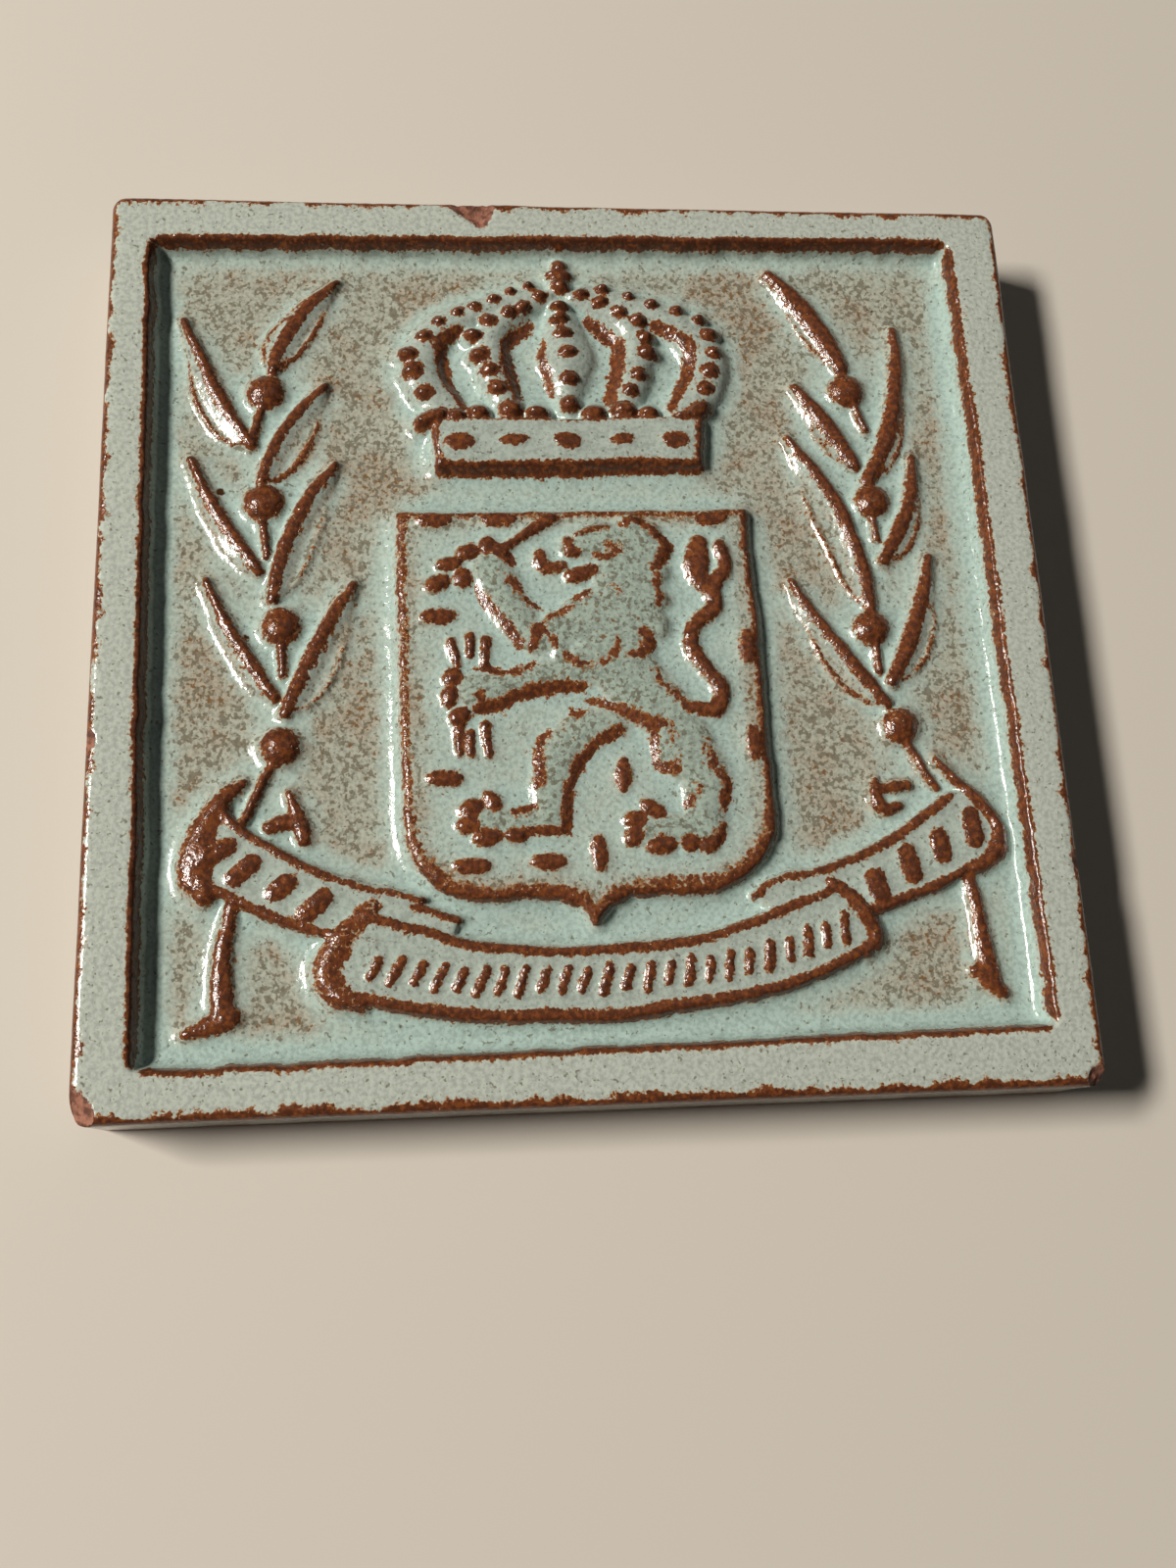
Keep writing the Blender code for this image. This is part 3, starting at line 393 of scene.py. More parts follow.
# Rampant lion: the far leg and body lie lowest, the mane over them, and the head on top
lion = {
    "heights": {"farLeg": 0.8, "body": 0.9, "mane": 0.98, "locks": 1.02, "head": 1.02,
                "claws": 0.85, "tail": 0.9, "sword": 0.8, "arrows": 0.65},
    "cling": {"farLeg": 0.8, "body": 0.8, "mane": 0.9, "locks": 0.6, "head": 0.8},
    "body": (
        ([(3.6, -4.0), (5.3, -7.4), (8.6, -11.2)], 3.8, (1.0, 0.95, 0.9)),
        ([(-5.0, -3.2), (-6.9, -0.6), (-8.5, 2.6), (-10.2, 6.4)], 2.25, (0.75, 0.95, 1, 1)),
        ([(1.4, -6.2), (-5.0, -7.1), (-9.0, -8.1), (-12.4, -8.7)], 2.1, (0.95, 0.8, 0.75, 0.95)),
        ([(9.2, -11.4), (10.4, -14.2), (10.8, -16.0)], 3.3, (0.9, 1.02, 1)),
        ([(11.0, -16.4), (12.8, -18.6), (13.1, -21.2)], 2.6, (1.15, 1, 0.95)),
        ([(13.1, -20.6), (12.9, -23.0), (12.8, -25.2)], 2.25, (1, 0.95, 1)),
        ([(12.6, -25.6), (9.2, -25.4), (6.2, -25.3)], 1.85, (1, 0.95, 0.95)),
    ),
    "farLeg": (
        ([(3.4, -12.6), (-0.4, -13.8), (-3.2, -16.2), (-4.3, -19.2)], 2.3, (0.7, 1, 1, 0.95)),
        ([(-4.2, -19.0), (-4.4, -21.4), (-4.2, -23.6)], 2.1, (1, 0.95, 0.85)),
        ([(-4.4, -24.1), (-8.4, -24.1), (-12.2, -23.5)], 1.6, (0.8, 0.95, 1)),
    ),
    "mane": (
        ([(6.3, 8.4), (5.9, 4.2), (4.7, -0.6), (2.4, -3.0)], 4.2, (0.85, 1.0, 1.05, 0.75)),
        ([(3.6, 1.2), (-0.5, -1.0), (-3.8, -2.2)], 2.8, (1, 0.9, 0.75)),
    ),
    "head": (
        ([(0.9, 8.9), (3.6, 9.2), (6.2, 9.0)], 2.3, (0.75, 1.0, 1.0)),
    ),
    "locks": (
        (6.4, 11.6, 1.3), (8.6, 10.3, 1.4), (9.6, 8.3, 1.4), (9.4, 5.2, 1.3), (9.1, 2.0, 1.3),
        (8.7, -1.4, 1.4), (6.8, -3.9, 1.4), (4.2, -4.9, 1.2), (2.0, -5.2, 1.2), (-0.4, -4.9, 1.1),
        (-2.4, -4.2, 1.1), (-5.0, -2.7, 1.4), (-3.2, -0.4, 1.0), (-1.0, 1.0, 1.0), (1.0, 2.2, 1.0),
    ),
    "claws": (
        (-10.6, 9.3, 1.1, 0.9, 1.2), (-12.9, 8.5, 1.2, 0.85, 0.3), (-14.9, 7.0, 1.5, 0.75, 0.15),
        (-13.4, 5.3, 0.95, 1.1, 0), (-16.2, 4.6, 1.4, 0.85, 0.5), (-9.0, 8.6, 1.0, 0.8, -0.6),
        (-14.8, -6.9, 1.1, 1.0, 0), (-15.3, -9.2, 0.9, 1.2, 0), (-14.2, -11.5, 1.2, 0.9, 0.2),
        (-10.9, -21.5, 1.3, 0.8, -0.9), (-13.3, -22.2, 1.3, 0.9, 0.3), (-13.7, -24.0, 1.2, 0.8, 0),
        (-11.6, -25.4, 1.6, 0.85, 0), (-8.6, -25.5, 1.1, 0.7, 0),
        (7.0, -22.9, 1.5, 0.7, -0.5), (4.9, -24.0, 1.3, 0.8, 0.1), (4.6, -25.9, 1.1, 0.9, 0.8),
        (7.6, -27.1, 1.7, 0.9, 0), (11.0, -26.9, 1.0, 0.9, 0), (13.2, -27.2, 1.1, 0.8, 0.5),
    ),
    "face": (
        ([(-0.9, 9.5), (-0.8, 8.3), (0.0, 8.0)], 0.6, 1.0),
        ([(0.0, 10.2), (1.9, 11.0), (3.7, 11.1)], 0.28, 1.06),
        ([(2.2, 7.8), (3.4, 7.5), (4.8, 8.2)], 0.35, 1.06),
        ([(-0.7, 5.0), (0.5, 5.4), (1.8, 6.0)], 0.85, 0.85),
        ([(-4.3, 8.0), (-4.2, 6.8), (-3.2, 6.2), (-1.7, 6.3)], 0.75, 0.7),
    ),
    "tail": (
        [(12.0, -11.2), (14.9, -11.4), (15.7, -9.0), (14.3, -6.7), (12.6, -3.9), (13.2, -1.2),
         (15.7, 1.0), (15.8, 3.6), (17.3, 6.0), (16.9, 8.6)], 0.8, (0.9, 1, 1, 1, 1, 0.8)),
    "tailTuft": ([(15.6, 2.8), (14.2, 4.8), (14.1, 7.0), (14.4, 9.0)], 1.15, (0.6, 0.9, 1.1, 0.8)),
    "sword": ([(-9.4, 8.4), (-6.4, 10.4), (-2.8, 12.6)], 0.5, (0.9, 0.85, 1.2)),
    "arrows": (
        ((-14.9, -2.6), (-14.2, -5.4)), ((-12.7, -2.0), (-12.8, -4.2)), ((-10.9, -2.4), (-11.1, -5.2)),
        ((-14.3, -12.4), (-14.2, -15.8)), ((-13.0, -13.6), (-13.0, -16.0)),
        ((-11.3, -12.6), (-11.0, -16.0)),
    ),
    "arrowHalfWidth": 0.45,
    "arrowTaper": (1, 0.85, 0.7),
    # Strokes of rust along the limbs, the mane and the face, and their half widths
    "breaks": (
        ([(5.4, 11.4), (6.8, 12.2), (8.4, 11.4), (9.7, 10.1)], 0.45),
        ([(9.7, 10.1), (10.8, 8.6), (10.2, 7.3), (9.4, 5.9)], 0.62),
        ([(8.6, 6.3), (9.2, 4.9), (9.5, 2.9), (9.3, 1.1)], 0.3),
        ([(-0.7, 9.3), (-0.6, 8.4), (0.1, 8.1)], 0.45), ([(3.5, 9.0), (4.1, 8.6), (4.7, 8.0)], 0.22),
        ([(2.7, 4.4), (3.6, 4.0), (4.1, 3.1)], 0.22), ([(-3.9, -0.3), (-2.4, 0.5), (-1.1, 1.1)], 0.32),
        ([(-0.5, 2.1), (1.1, 3.1)], 0.32), ([(-5.6, -1.3), (-5.1, -2.3), (-5.7, -3.8)], 0.5),
        ([(-5.3, -1.2), (-4.1, -1.7)], 0.5), ([(-3.2, -2.6), (-2.9, -3.8)], 0.35),
        ([(-1.8, -4.6), (-0.6, -5.7), (0.7, -6.0), (2.0, -5.9)], 0.33),
        ([(2.0, -5.8), (3.1, -5.0), (3.9, -4.6), (4.0, -3.1)], 0.38),
        ([(5.3, -5.0), (6.7, -4.5), (7.7, -3.8)], 0.45), ([(7.9, -3.9), (7.7, -3.0), (7.0, -2.1)], 0.6),
        ([(8.1, -6.5), (8.6, -7.7), (9.5, -8.7)], 0.35), ([(9.5, -8.7), (10.6, -9.7), (12.0, -11.1)], 0.35),
        ([(13.3, -15.4), (13.7, -17.4), (14.6, -18.9), (15.4, -19.9)], 0.4),
        ([(15.4, -19.9), (15.3, -21.5), (14.8, -23.2)], 0.5),
        ([(14.7, -25.2), (14.2, -26.8), (12.8, -27.8)], 0.5),
        ([(0.3, -9.9), (2.1, -10.4), (3.5, -10.9)], 0.4),
        ([(3.5, -10.9), (5.2, -11.8), (7.0, -12.7), (8.4, -13.1)], 0.62),
        ([(7.7, -13.6), (7.5, -15.7), (7.7, -17.6)], 0.42),
        ([(9.4, -13.3), (9.7, -15.3), (10.0, -17.4)], 0.12), ([(7.8, -18.2), (10.3, -18.3)], 0.45),
        ([(-12.0, -10.7), (-9.8, -10.3), (-8.0, -9.4)], 0.65),
        ([(-8.0, -9.4), (-5.8, -8.7), (-2.8, -8.4), (0.1, -8.3)], 0.6),
        ([(-12.1, -5.7), (-10.6, -6.0), (-8.8, -6.6)], 0.4),
        ([(-8.8, -6.6), (-7.1, -6.3), (-5.5, -5.5)], 0.3), ([(-1.6, -11.6), (-0.1, -11.5)], 0.4),
        ([(-4.2, -13.3), (-5.3, -14.7), (-5.8, -16.1)], 0.45),
        ([(-5.8, -16.1), (-5.6, -17.8), (-5.9, -19.7)], 0.62),
        ([(3.9, -13.6), (2.5, -14.1), (0.9, -15.1)], 0.55),
        ([(0.9, -15.1), (-0.5, -16.5), (-1.6, -18.0), (-2.3, -20.0)], 0.55),
        ([(-2.3, -20.0), (-2.7, -22.4), (-2.8, -24.4), (-3.4, -25.4)], 0.6),
        ([(-9.2, -25.4), (-6.5, -25.1), (-4.0, -25.1)], 0.45),
        ([(-8.7, -22.7), (-7.2, -22.5), (-6.3, -21.9)], 0.35),
        ([(10.7, -22.6), (11.6, -21.5), (12.4, -20.8)], 0.38),
        ([(-11.8, 4.0), (-11.0, 2.5), (-9.6, 0.9)], 0.42),
        ([(-9.6, 0.9), (-8.5, -0.7), (-7.6, -2.4), (-7.2, -3.6)], 0.42),
        ([(-8.6, 5.5), (-7.6, 4.6), (-6.8, 3.2)], 0.33), ([(-6.8, 3.2), (-5.8, 2.0), (-4.7, 1.1)], 0.25),
        ([(-9.6, 8.7), (-8.5, 8.0), (-7.6, 7.1)], 0.65), ([(-12.3, -8.8), (-11.6, -9.6)], 0.4),
    ),
}


def makeLionMass(name):
    limbs(onForms, lion[name], lion["heights"][name], cling=lion["cling"][name])


def makeLion():
    heights = lion["heights"]
    for name in ("farLeg", "body", "mane"):
        makeLionMass(name)
    for x, y, radius in lion["locks"]:
        bead(onForms, (x, y), (radius, radius), heights["locks"], rust=0.0, cling=lion["cling"]["locks"])
    makeLionMass("head")
    for line, halfWidth in lion["breaks"]:
        breakGlaze(line, halfWidth)
    for x, y, halfLength, halfWidth, turn in lion["claws"]:
        bead(onForms, (x, y), (halfLength, halfWidth), heights["claws"], turn)
    for line, halfWidth, height in lion["face"]:
        ridge(onForms, smooth(line), halfWidth, height, rust=0.8)
    for line, halfWidth, taper in (lion["tail"], lion["tailTuft"]):
        ridge(onForms, smooth(line), halfWidth, heights["tail"], taper, rust=0.85)
    line, halfWidth, taper = lion["sword"]
    ridge(onForms, smooth(line), halfWidth, heights["sword"], taper, rust=1.0)
    for start, end in lion["arrows"]:
        ridge(onForms, [start, end], lion["arrowHalfWidth"], heights["arrows"], lion["arrowTaper"],
              rust=1.0)


# Crown: a jewelled band, arched ribs strung with beads, an orb and a finial
crown = {
    "bandHeight": 2.3,
    "ribHeight": 1.9,
    "beadHeight": 0.5,
    "footBeadHeight": 0.4,
    "band": (19.7, 25.7),
    "bandHalfWidth": 15.6,
    "bandFlare": 0.4,
    # Ribs of one side, the outer first: middle line, half width and taper
    "ribs": (
        ([(13.6, 26.6), (16.9, 30.4), (17.4, 34.6), (14.8, 38.6), (9.0, 41.4), (3.2, 43.4)],
         2.3, (0.95, 1, 0.95, 0.75, 0.5)),
        ([(6.8, 27.0), (8.4, 31.2), (9.0, 35.2), (8.4, 38.6), (5.2, 41.2), (1.4, 43.0)],
         1.9, (0.8, 1, 0.95, 0.7, 0.5)),
    ),
    "centreRib": ([(0.2, 28.2), (0.3, 34.5), (0.0, 41.8)], 3.3, (0.4, 1, 0.35)),
    # Beads along the ribs: where, and their radius
    "ribBeads": (
        (-17.0, 29.4, 1.15), (-18.4, 32.3, 1.3), (-18.9, 34.8, 1.25), (-16.9, 37.3, 1.0), (-15.0, 39.2, 0.8),
        (-12.5, 40.6, 0.75), (-10.4, 41.4, 0.8), (-8.1, 42.5, 0.8), (-6.1, 43.4, 0.65), (-3.8, 44.1, 0.7),
        (17.0, 29.9, 1.0), (17.7, 32.3, 1.1), (18.3, 34.8, 0.95), (18.0, 37.4, 1.1), (17.0, 39.5, 0.8),
        (14.3, 40.8, 0.8), (11.3, 41.6, 0.85), (8.4, 42.7, 0.8), (5.2, 43.8, 0.8),
        (-2.6, 42.8, 0.9), (-4.7, 41.3, 0.9), (-6.5, 40.6, 0.95), (-8.9, 39.5, 1.0), (-10.8, 37.4, 1.1),
        (-10.2, 34.7, 1.2), (-9.1, 32.4, 1.1), (-8.2, 30.0, 1.1),
        (2.6, 43.1, 1.0), (4.9, 41.8, 1.0), (7.2, 40.4, 1.0), (9.4, 39.4, 1.0), (10.1, 37.0, 1.05),
        (10.4, 34.9, 1.2), (9.1, 31.9, 0.95), (7.9, 29.7, 0.95),
    ),
    "beadFlatness": 0.85,
    "centreBeads": [(-0.2, 41.4), (-0.3, 39.6), (0.1, 37.6), (0.6, 34.9), (0.6, 31.3)],
    "centreBead": (1.15, 0.75),
    # Orb and finial: where, half sizes, and how far they rise past the ribs
    "finial": ((0.0, 44.3, 1.15, 1.1, 0.5), (0.0, 46.1, 1.6, 0.8, -0.285), (0.2, 47.5, 0.85, 0.9, -0.475)),
    "footBeads": ((-16.2, 26.0, 2.1, 1.1, 0.35), (-13.4, 26.2, 1.1, 0.8, 0), (-10.6, 26.6, 1.4, 1.1, 0),
                  (-6.8, 27.1, 1.4, 1.3, 0), (-3.6, 26.7, 1.5, 0.9, 0), (0.4, 28.0, 1.2, 1.2, 0),
                  (3.2, 26.7, 1.4, 1.1, 0), (6.9, 26.9, 1.7, 1.2, 0), (9.9, 26.5, 1.3, 1.0, 0),
                  (15.8, 26.9, 1.8, 1.1, 0.5), (13.9, 26.1, 1.1, 0.7, 0)),
    "jewels": [(-13.0, 1.6, 0.95), (-6.6, 1.6, 0.65), (-0.1, 1.6, 1.1), (6.3, 1.35, 0.7), (12.7, 1.6, 0.95)],
    "jewelY": 22.6,
    # Wide strokes of rust along the ribs' inner sides, the wall under the band, and its edges
    "breaks": (
        ([(-12.4, 38.2), (-14.8, 36.6), (-14.8, 33.7), (-14.0, 30.7), (-12.5, 27.6)], 0.72),
        ([(11.4, 38.8), (13.9, 37.5), (15.6, 36.0), (15.4, 33.3), (14.2, 30.3), (12.7, 27.4)], 0.68),
        ([(-4.0, 39.3), (-6.1, 37.6), (-7.2, 36.2)], 0.6), ([(-7.2, 36.6), (-7.0, 33.6), (-5.9, 29.0)], 0.62),
        ([(3.3, 39.8), (5.4, 37.9), (6.8, 36.3)], 0.7), ([(6.8, 36.6), (6.6, 33.0), (5.8, 29.8)], 0.8),
        ([(5.8, 30.4), (5.5, 28.4)], 0.75), ([(-2.5, 36.8), (-2.7, 34.5), (-1.7, 29.6)], 0.4),
        ([(-15.4, 19.7), (0.0, 19.7), (15.4, 19.7)], 0.25),
        ([(-15.4, 19.2), (0.0, 19.2), (15.4, 19.2)], 0.36),
        ([(-15.4, 19.9), (-15.7, 25.3)], 0.3), ([(15.5, 19.9), (15.8, 25.3)], 0.42),
        ([(-13.0, 25.8), (0.0, 25.8), (12.0, 25.8)], 0.22),
    ),
}


def makeCrown():
    low, high = crown["band"]
    wide, flared = crown["bandHalfWidth"], crown["bandHalfWidth"] + crown["bandFlare"]
    ribHeight = crown["ribHeight"]
    for hand in (-1, 1):
        for line, halfWidth, taper in crown["ribs"]:
            ridge(onField, smooth(mirrored(line, hand)), halfWidth, ribHeight, taper,
                  dome=0.4, soft=0.3, cling=1.0)
    line, halfWidth, taper = crown["centreRib"]
    ridge(onField, line, halfWidth, ribHeight, taper, dome=0.5, soft=0.3, cling=0.9)
    plate(onField, [(wide, low), (flared, high), (-flared, high), (-wide, low)], crown["bandHeight"])
    for line, halfWidth in crown["breaks"]:
        breakGlaze(line, halfWidth)
    beadTop = ribHeight + crown["beadHeight"]
    for x, y, radius in crown["ribBeads"]:
        bead(onField, (x, y), (radius, radius * crown["beadFlatness"]), beadTop)
    for spot in crown["centreBeads"]:
        bead(onField, spot, crown["centreBead"], beadTop)
    footTop = crown["bandHeight"] + crown["footBeadHeight"]
    for x, y, halfLength, halfWidth, turn in crown["footBeads"]:
        bead(onField, (x, y), (halfLength, halfWidth), footTop, turn, rust=0.8)
    for x, halfLength, halfWidth in crown["jewels"]:
        bead(onForms, (x, crown["jewelY"]), (halfLength, halfWidth), crown["beadHeight"])
    for x, y, halfLength, halfWidth, rise in crown["finial"]:
        bead(onField, (x, y), (halfLength, halfWidth), ribHeight + rise)


# Branches: each leaf has a high crest, and a blade that falls away to a fine raised edge
branches = {
    "crestHeight": 1.3,
    "bladeTop": 1.3,    # the blade falls from this height under the crest
    "bladeSlope": 0.47,
    "bladeFoot": 0.32,  # and lies no lower than this
    "bladeFall": {"outside": (-0.1, 0.25, 0.6, 1.2, 2.0), "share": (1, 0.75, 0.3, 0.05, -0.3)},
    "bladeSoft": 0.15,
    "bladeWindow": 3,   # a blade is worked out this far beyond its outline
    "crestTaper": (0.85, 1.1, 1.0, 0.55),
    "edgeHeight": 0.62,
    "edgeHalfWidth": 0.24,
    "edgeTaper": (0.6, 1, 0.9, 0.2),
    "edgeBulge": 0.65,    # below 1 the blade is widest nearer its base
    "edgeShortBy": 4,     # steps of its curve that a raised edge stops short of the tip
    "berryHeight": 1.8,
    "berryRadius": 2.15,
    "stemHeight": 1.1,
    "stalkHalfWidth": 0.52,
    "stemSlimness": 0.75,
    # tip, base, how far the crest bows off the line between them, its half width,
    # and for each side of the blade how far its edge bows and how much of it is rust
    "leaves": (
        ((-27.3, 45.1), (-35.1, 33.0), 1.3, 0.62, ((-1.3, 0.75), (3.0, 0.6))),
        ((-45.3, 40.0), (-37.5, 23.3), 0.7, 0.62, ((3.3, 0.7),)),
        ((-28.9, 31.1), (-36.3, 18.6), 1.1, 0.58, ((-2.5, 0.8),)),
        ((-44.4, 21.3), (-36.5, 7.2), 0.5, 0.62, ((2.1, 0.3),)),
        ((-27.8, 20.6), (-35.0, 3.5), 1.4, 0.66, ((-1.8, 0.25),)),
        ((-42.5, 5.9), (-34.8, -8.2), 0.5, 0.62, ((2.0, 0.2),)),
        ((-25.9, 5.4), (-33.7, -10.1), 0.4, 0.7, ((-2.9, 0.45),)),
        ((26.7, 46.3), (34.5, 33.1), -0.7, 1.15, ((1.5, 0.5),)),
        ((41.7, 38.2), (36.2, 17.6), -1.6, 0.82, ((-3.2, 0.6),)),
        ((28.4, 30.3), (34.8, 19.7), -0.3, 0.92, ((1.7, 0.45),)),
        ((42.1, 20.9), (37.0, 7.2), -1.3, 0.7, ((-3.1, 0.65),)),
        ((26.8, 23.3), (34.8, 1.0), -2.1, 0.7, ((1.4, 0.6),)),
        ((42.7, 7.5), (36.4, -8.0), -0.8, 0.75, ((-3.2, 0.55),)),
        ((25.7, 4.6), (35.3, -10.6), 0.4, 0.68, ((3.0, 0.7),)),
    ),
    "berries": (
        (-36.0, 30.2), (-36.0, 15.8), (-34.1, 0.4), (-34.3, -13.9),
        (34.9, 29.9), (36.5, 14.9), (34.7, -1.4), (36.6, -13.5),
    ),
    "stalks": (
        ((-36.4, 28.7), (-37.4, 23.9)), ((-36.2, 14.6), (-35.7, 9.2)), ((-34.0, -0.5), (-34.0, -5.5)),
        ((-34.8, -15.2), (-38.1, -22.5)), ((35.1, 29.1), (36.7, 24.7)), ((36.4, 13.6), (36.7, 9.8)),
        ((34.9, -2.5), (35.0, -6.8)), ((36.9, -15.2), (40.0, -21.3)),
    ),
    "stems": (
        ([(-39.4, -31.8), (-40.4, -37.8), (-40.2, -43.7)], 1.25, (0.7, 0.9, 1.2)),
        ([(-39.6, -43.7), (-41.6, -44.4), (-44.0, -45.3)], 1.3, (1.1, 1.0, 0.5)),
        ([(42.7, -31.8), (43.3, -38.4), (43.8, -43.5)], 1.25, (0.7, 0.9, 1.2)),
        ([(42.1, -42.4), (43.5, -43.6), (45.1, -45.1)], 1.2, (0.7, 1.0, 0.6)),
        ([(-33.1, -19.3), (-32.1, -22.1), (-31.7, -24.5)], 1.0, (0.4, 1.0, 1.0)),
        ([(-32.5, -22.6), (-33.9, -22.6), (-35.2, -23.1)], 1.15, (0.8, 1, 0.8)),
        ([(32.9, -20.1), (32.7, -22.1), (33.8, -23.5), (35.2, -23.3)], 0.9, (0.5, 1, 0.9, 0.7)),
        ([(33.2, -21.1), (36.6, -20.7)], 0.8, (0.8, 1, 1)),
    ),
}


def makeLeaf(tip, base, crestBow, crestHalfWidth, edges):
    crest, fall = bowed(base, tip, crestBow), branches["bladeFall"]
    for edgeBow, edgeRust in edges:
        edge = bowed(base, tip, edgeBow, bulge=branches["edgeBulge"])
        window, u, v = nearby(np.vstack([crest, edge]), branches["bladeWindow"])
        outside = shapeOutside(u, v, np.vstack([crest, edge[::-1]]))
        down = branches["bladeSlope"] * lineOutside(u, v, crest, 0, (1, 1))
        blade = np.maximum(branches["bladeTop"] - down, branches["bladeFoot"])
        blade = blade * np.interp(outside, fall["outside"], fall["share"])
        onField[window] = smoothMax(onField[window], blade, branches["bladeSoft"])
        ridge(onField, edge[:-branches["edgeShortBy"]], branches["edgeHalfWidth"], branches["edgeHeight"],
              branches["edgeTaper"], rust=edgeRust)
    ridge(onField, crest, crestHalfWidth, branches["crestHeight"], branches["crestTaper"], rust=0.9)


def makeBranches():
    for leaf in branches["leaves"]:
        makeLeaf(*leaf)
    for spot in branches["berries"]:
        bead(onField, spot, (branches["berryRadius"],) * 2, branches["berryHeight"], dome=0.5, rust=0.78)
    for start, end in branches["stalks"]:
        ridge(onField, [start, end], branches["stalkHalfWidth"], branches["stemHeight"], rust=0.85)
    for line, halfWidth, taper in branches["stems"]:
        ridge(onField, smooth(line), halfWidth * branches["stemSlimness"], branches["stemHeight"], taper,
              rust=0.85)


# Ribbons: three lengths with raised edges and rolled ends, and a row of leaning strokes on each
ribbons = {
    "height": 1.5,
    "edgeHeight": 0.3,
    "edgeHalfWidth": 0.46,
    "edgeInset": 0.4,
    # Each length: its upper and lower edge and the turned ends between them, how far it lies below
    # the middle one, and how its raised edges taper
    "lengths": (
        {"top": [(-40.2, -20.6), (-38.5, -22.9), (-30.1, -28.0), (-18.6, -31.9)], "rightEnd": [],
         "foot": [(-24.0, -37.0), (-34.1, -34.0), (-42.2, -30.0)],
         "leftEnd": [(-44.6, -27.9), (-44.8, -25.4), (-42.9, -21.9)],
         "drop": 0.35, "topTaper": (1.1, 1, 0.7, 0.3), "footTaper": (0.7, 0.9, 1)},
        {"top": [(17.6, -32.8), (20.4, -31.0), (27.9, -29.3), (34.0, -26.7), (41.2, -22.2)],
         "rightEnd": [(44.0, -22.1), (46.2, -25.4), (46.7, -28.4)],
         "foot": [(43.4, -30.7), (36.9, -33.7), (27.0, -36.6)], "leftEnd": [],
         "drop": 0.35, "topTaper": (0.35, 0.7, 1, 1), "footTaper": (1.1, 1, 1)},
        {"top": [(-24.8, -33.4), (-12.2, -37.1), (1.0, -37.9), (13.8, -36.7), (26.0, -32.4)],
         "rightEnd": [(29.6, -35.2), (31.2, -38.2)],
         "foot": [(29.8, -40.0), (19.7, -43.7), (0.0, -45.8), (-16.3, -44.8), (-27.6, -42.6)],
         "leftEnd": [(-30.1, -40.6), (-29.8, -38.8), (-27.2, -35.4)],
         "drop": 0.0, "topTaper": (1, 1, 1), "footTaper": (1.2, 1.3, 1.2)},
    ),
    "rolls": (
        ([(-38.1, -18.1), (-40.2, -19.7), (-41.9, -22.4), (-43.0, -25.4), (-43.3, -28.2), (-42.3, -30.4)],
         1.6, (0.2, 0.55, 0.8, 1.05, 1.15, 0.8), 1.55, 0.78),
        ([(-24.4, -32.6), (-26.9, -35.0), (-28.7, -37.8), (-29.2, -40.0), (-28.0, -42.0), (-25.6, -43.2)],
         1.45, (0.7, 0.9, 1.05, 1.1, 0.9, 0.5), 1.75, 0.68),
        ([(26.4, -31.6), (28.7, -33.6), (30.6, -36.4), (31.0, -38.3), (29.8, -40.0)],
         0.95, (0.6, 0.95, 1.05, 1, 0.4), 1.75, 0.8),
        ([(40.4, -18.0), (42.0, -19.9), (43.9, -22.2), (45.8, -24.4), (46.8, -26.6), (46.5, -28.6),
          (44.9, -30.1), (43.3, -31.0)],
         0.9, (0.35, 0.55, 0.75, 0.85, 1.0, 1.15, 0.95, 0.6), 1.6, 0.85),
    ),
    "flaps": (
        [(-24.9, -32.2), (-21.6, -32.3), (-18.3, -33.4), (-15.2, -34.5), (-16.3, -36.6), (-22.0, -35.8)],
        [(26.9, -31.0), (24.6, -31.0), (20.6, -31.9), (17.9, -33.0), (19.6, -35.0), (26.0, -33.2)],
    ),
    "flapHeight": 1.2,
    "flapEdge": {"halfWidth": 0.38, "height": 1.35, "taper": (1, 0.8)},
    "centreMarks": [(-24.2, -39.3), (-14.2, -41.0), (0.1, -41.6), (15.8, -40.5), (27.5, -37.2)],
    "centreMarkCount": 24,
    "centreMark": (1.4, 0.36),
    "leftMarks": [(-40.7, -25.9), (-38.1, -28.1), (-34.1, -30.0), (-30.4, -32.0)],
    "rightMarks": [(31.9, -32.5), (35.7, -30.0), (39.5, -28.1), (43.6, -26.1)],
    "sideMark": (1.3, 0.9),
    "markHeight": 0.5,
    "markLean": math.radians(18),
    "shortMarkShare": 0.75,
}


def makeMarks(spots, halfSizes):
    spots = np.array(spots, float)
    for index, spot in enumerate(spots):
        run = spots[min(index + 1, len(spots) - 1)] - spots[max(index - 1, 0)]
        turn = math.atan2(run[1], run[0]) + math.pi / 2 - ribbons["markLean"]
        halfLength = halfSizes[0] * (1 if index % 2 else ribbons["shortMarkShare"])
        reach = np.array([math.cos(turn), math.sin(turn)]) * halfLength
        ridge(onForms, [spot - reach, spot + reach], halfSizes[1], ribbons["markHeight"], (1, 1), rust=1.0)


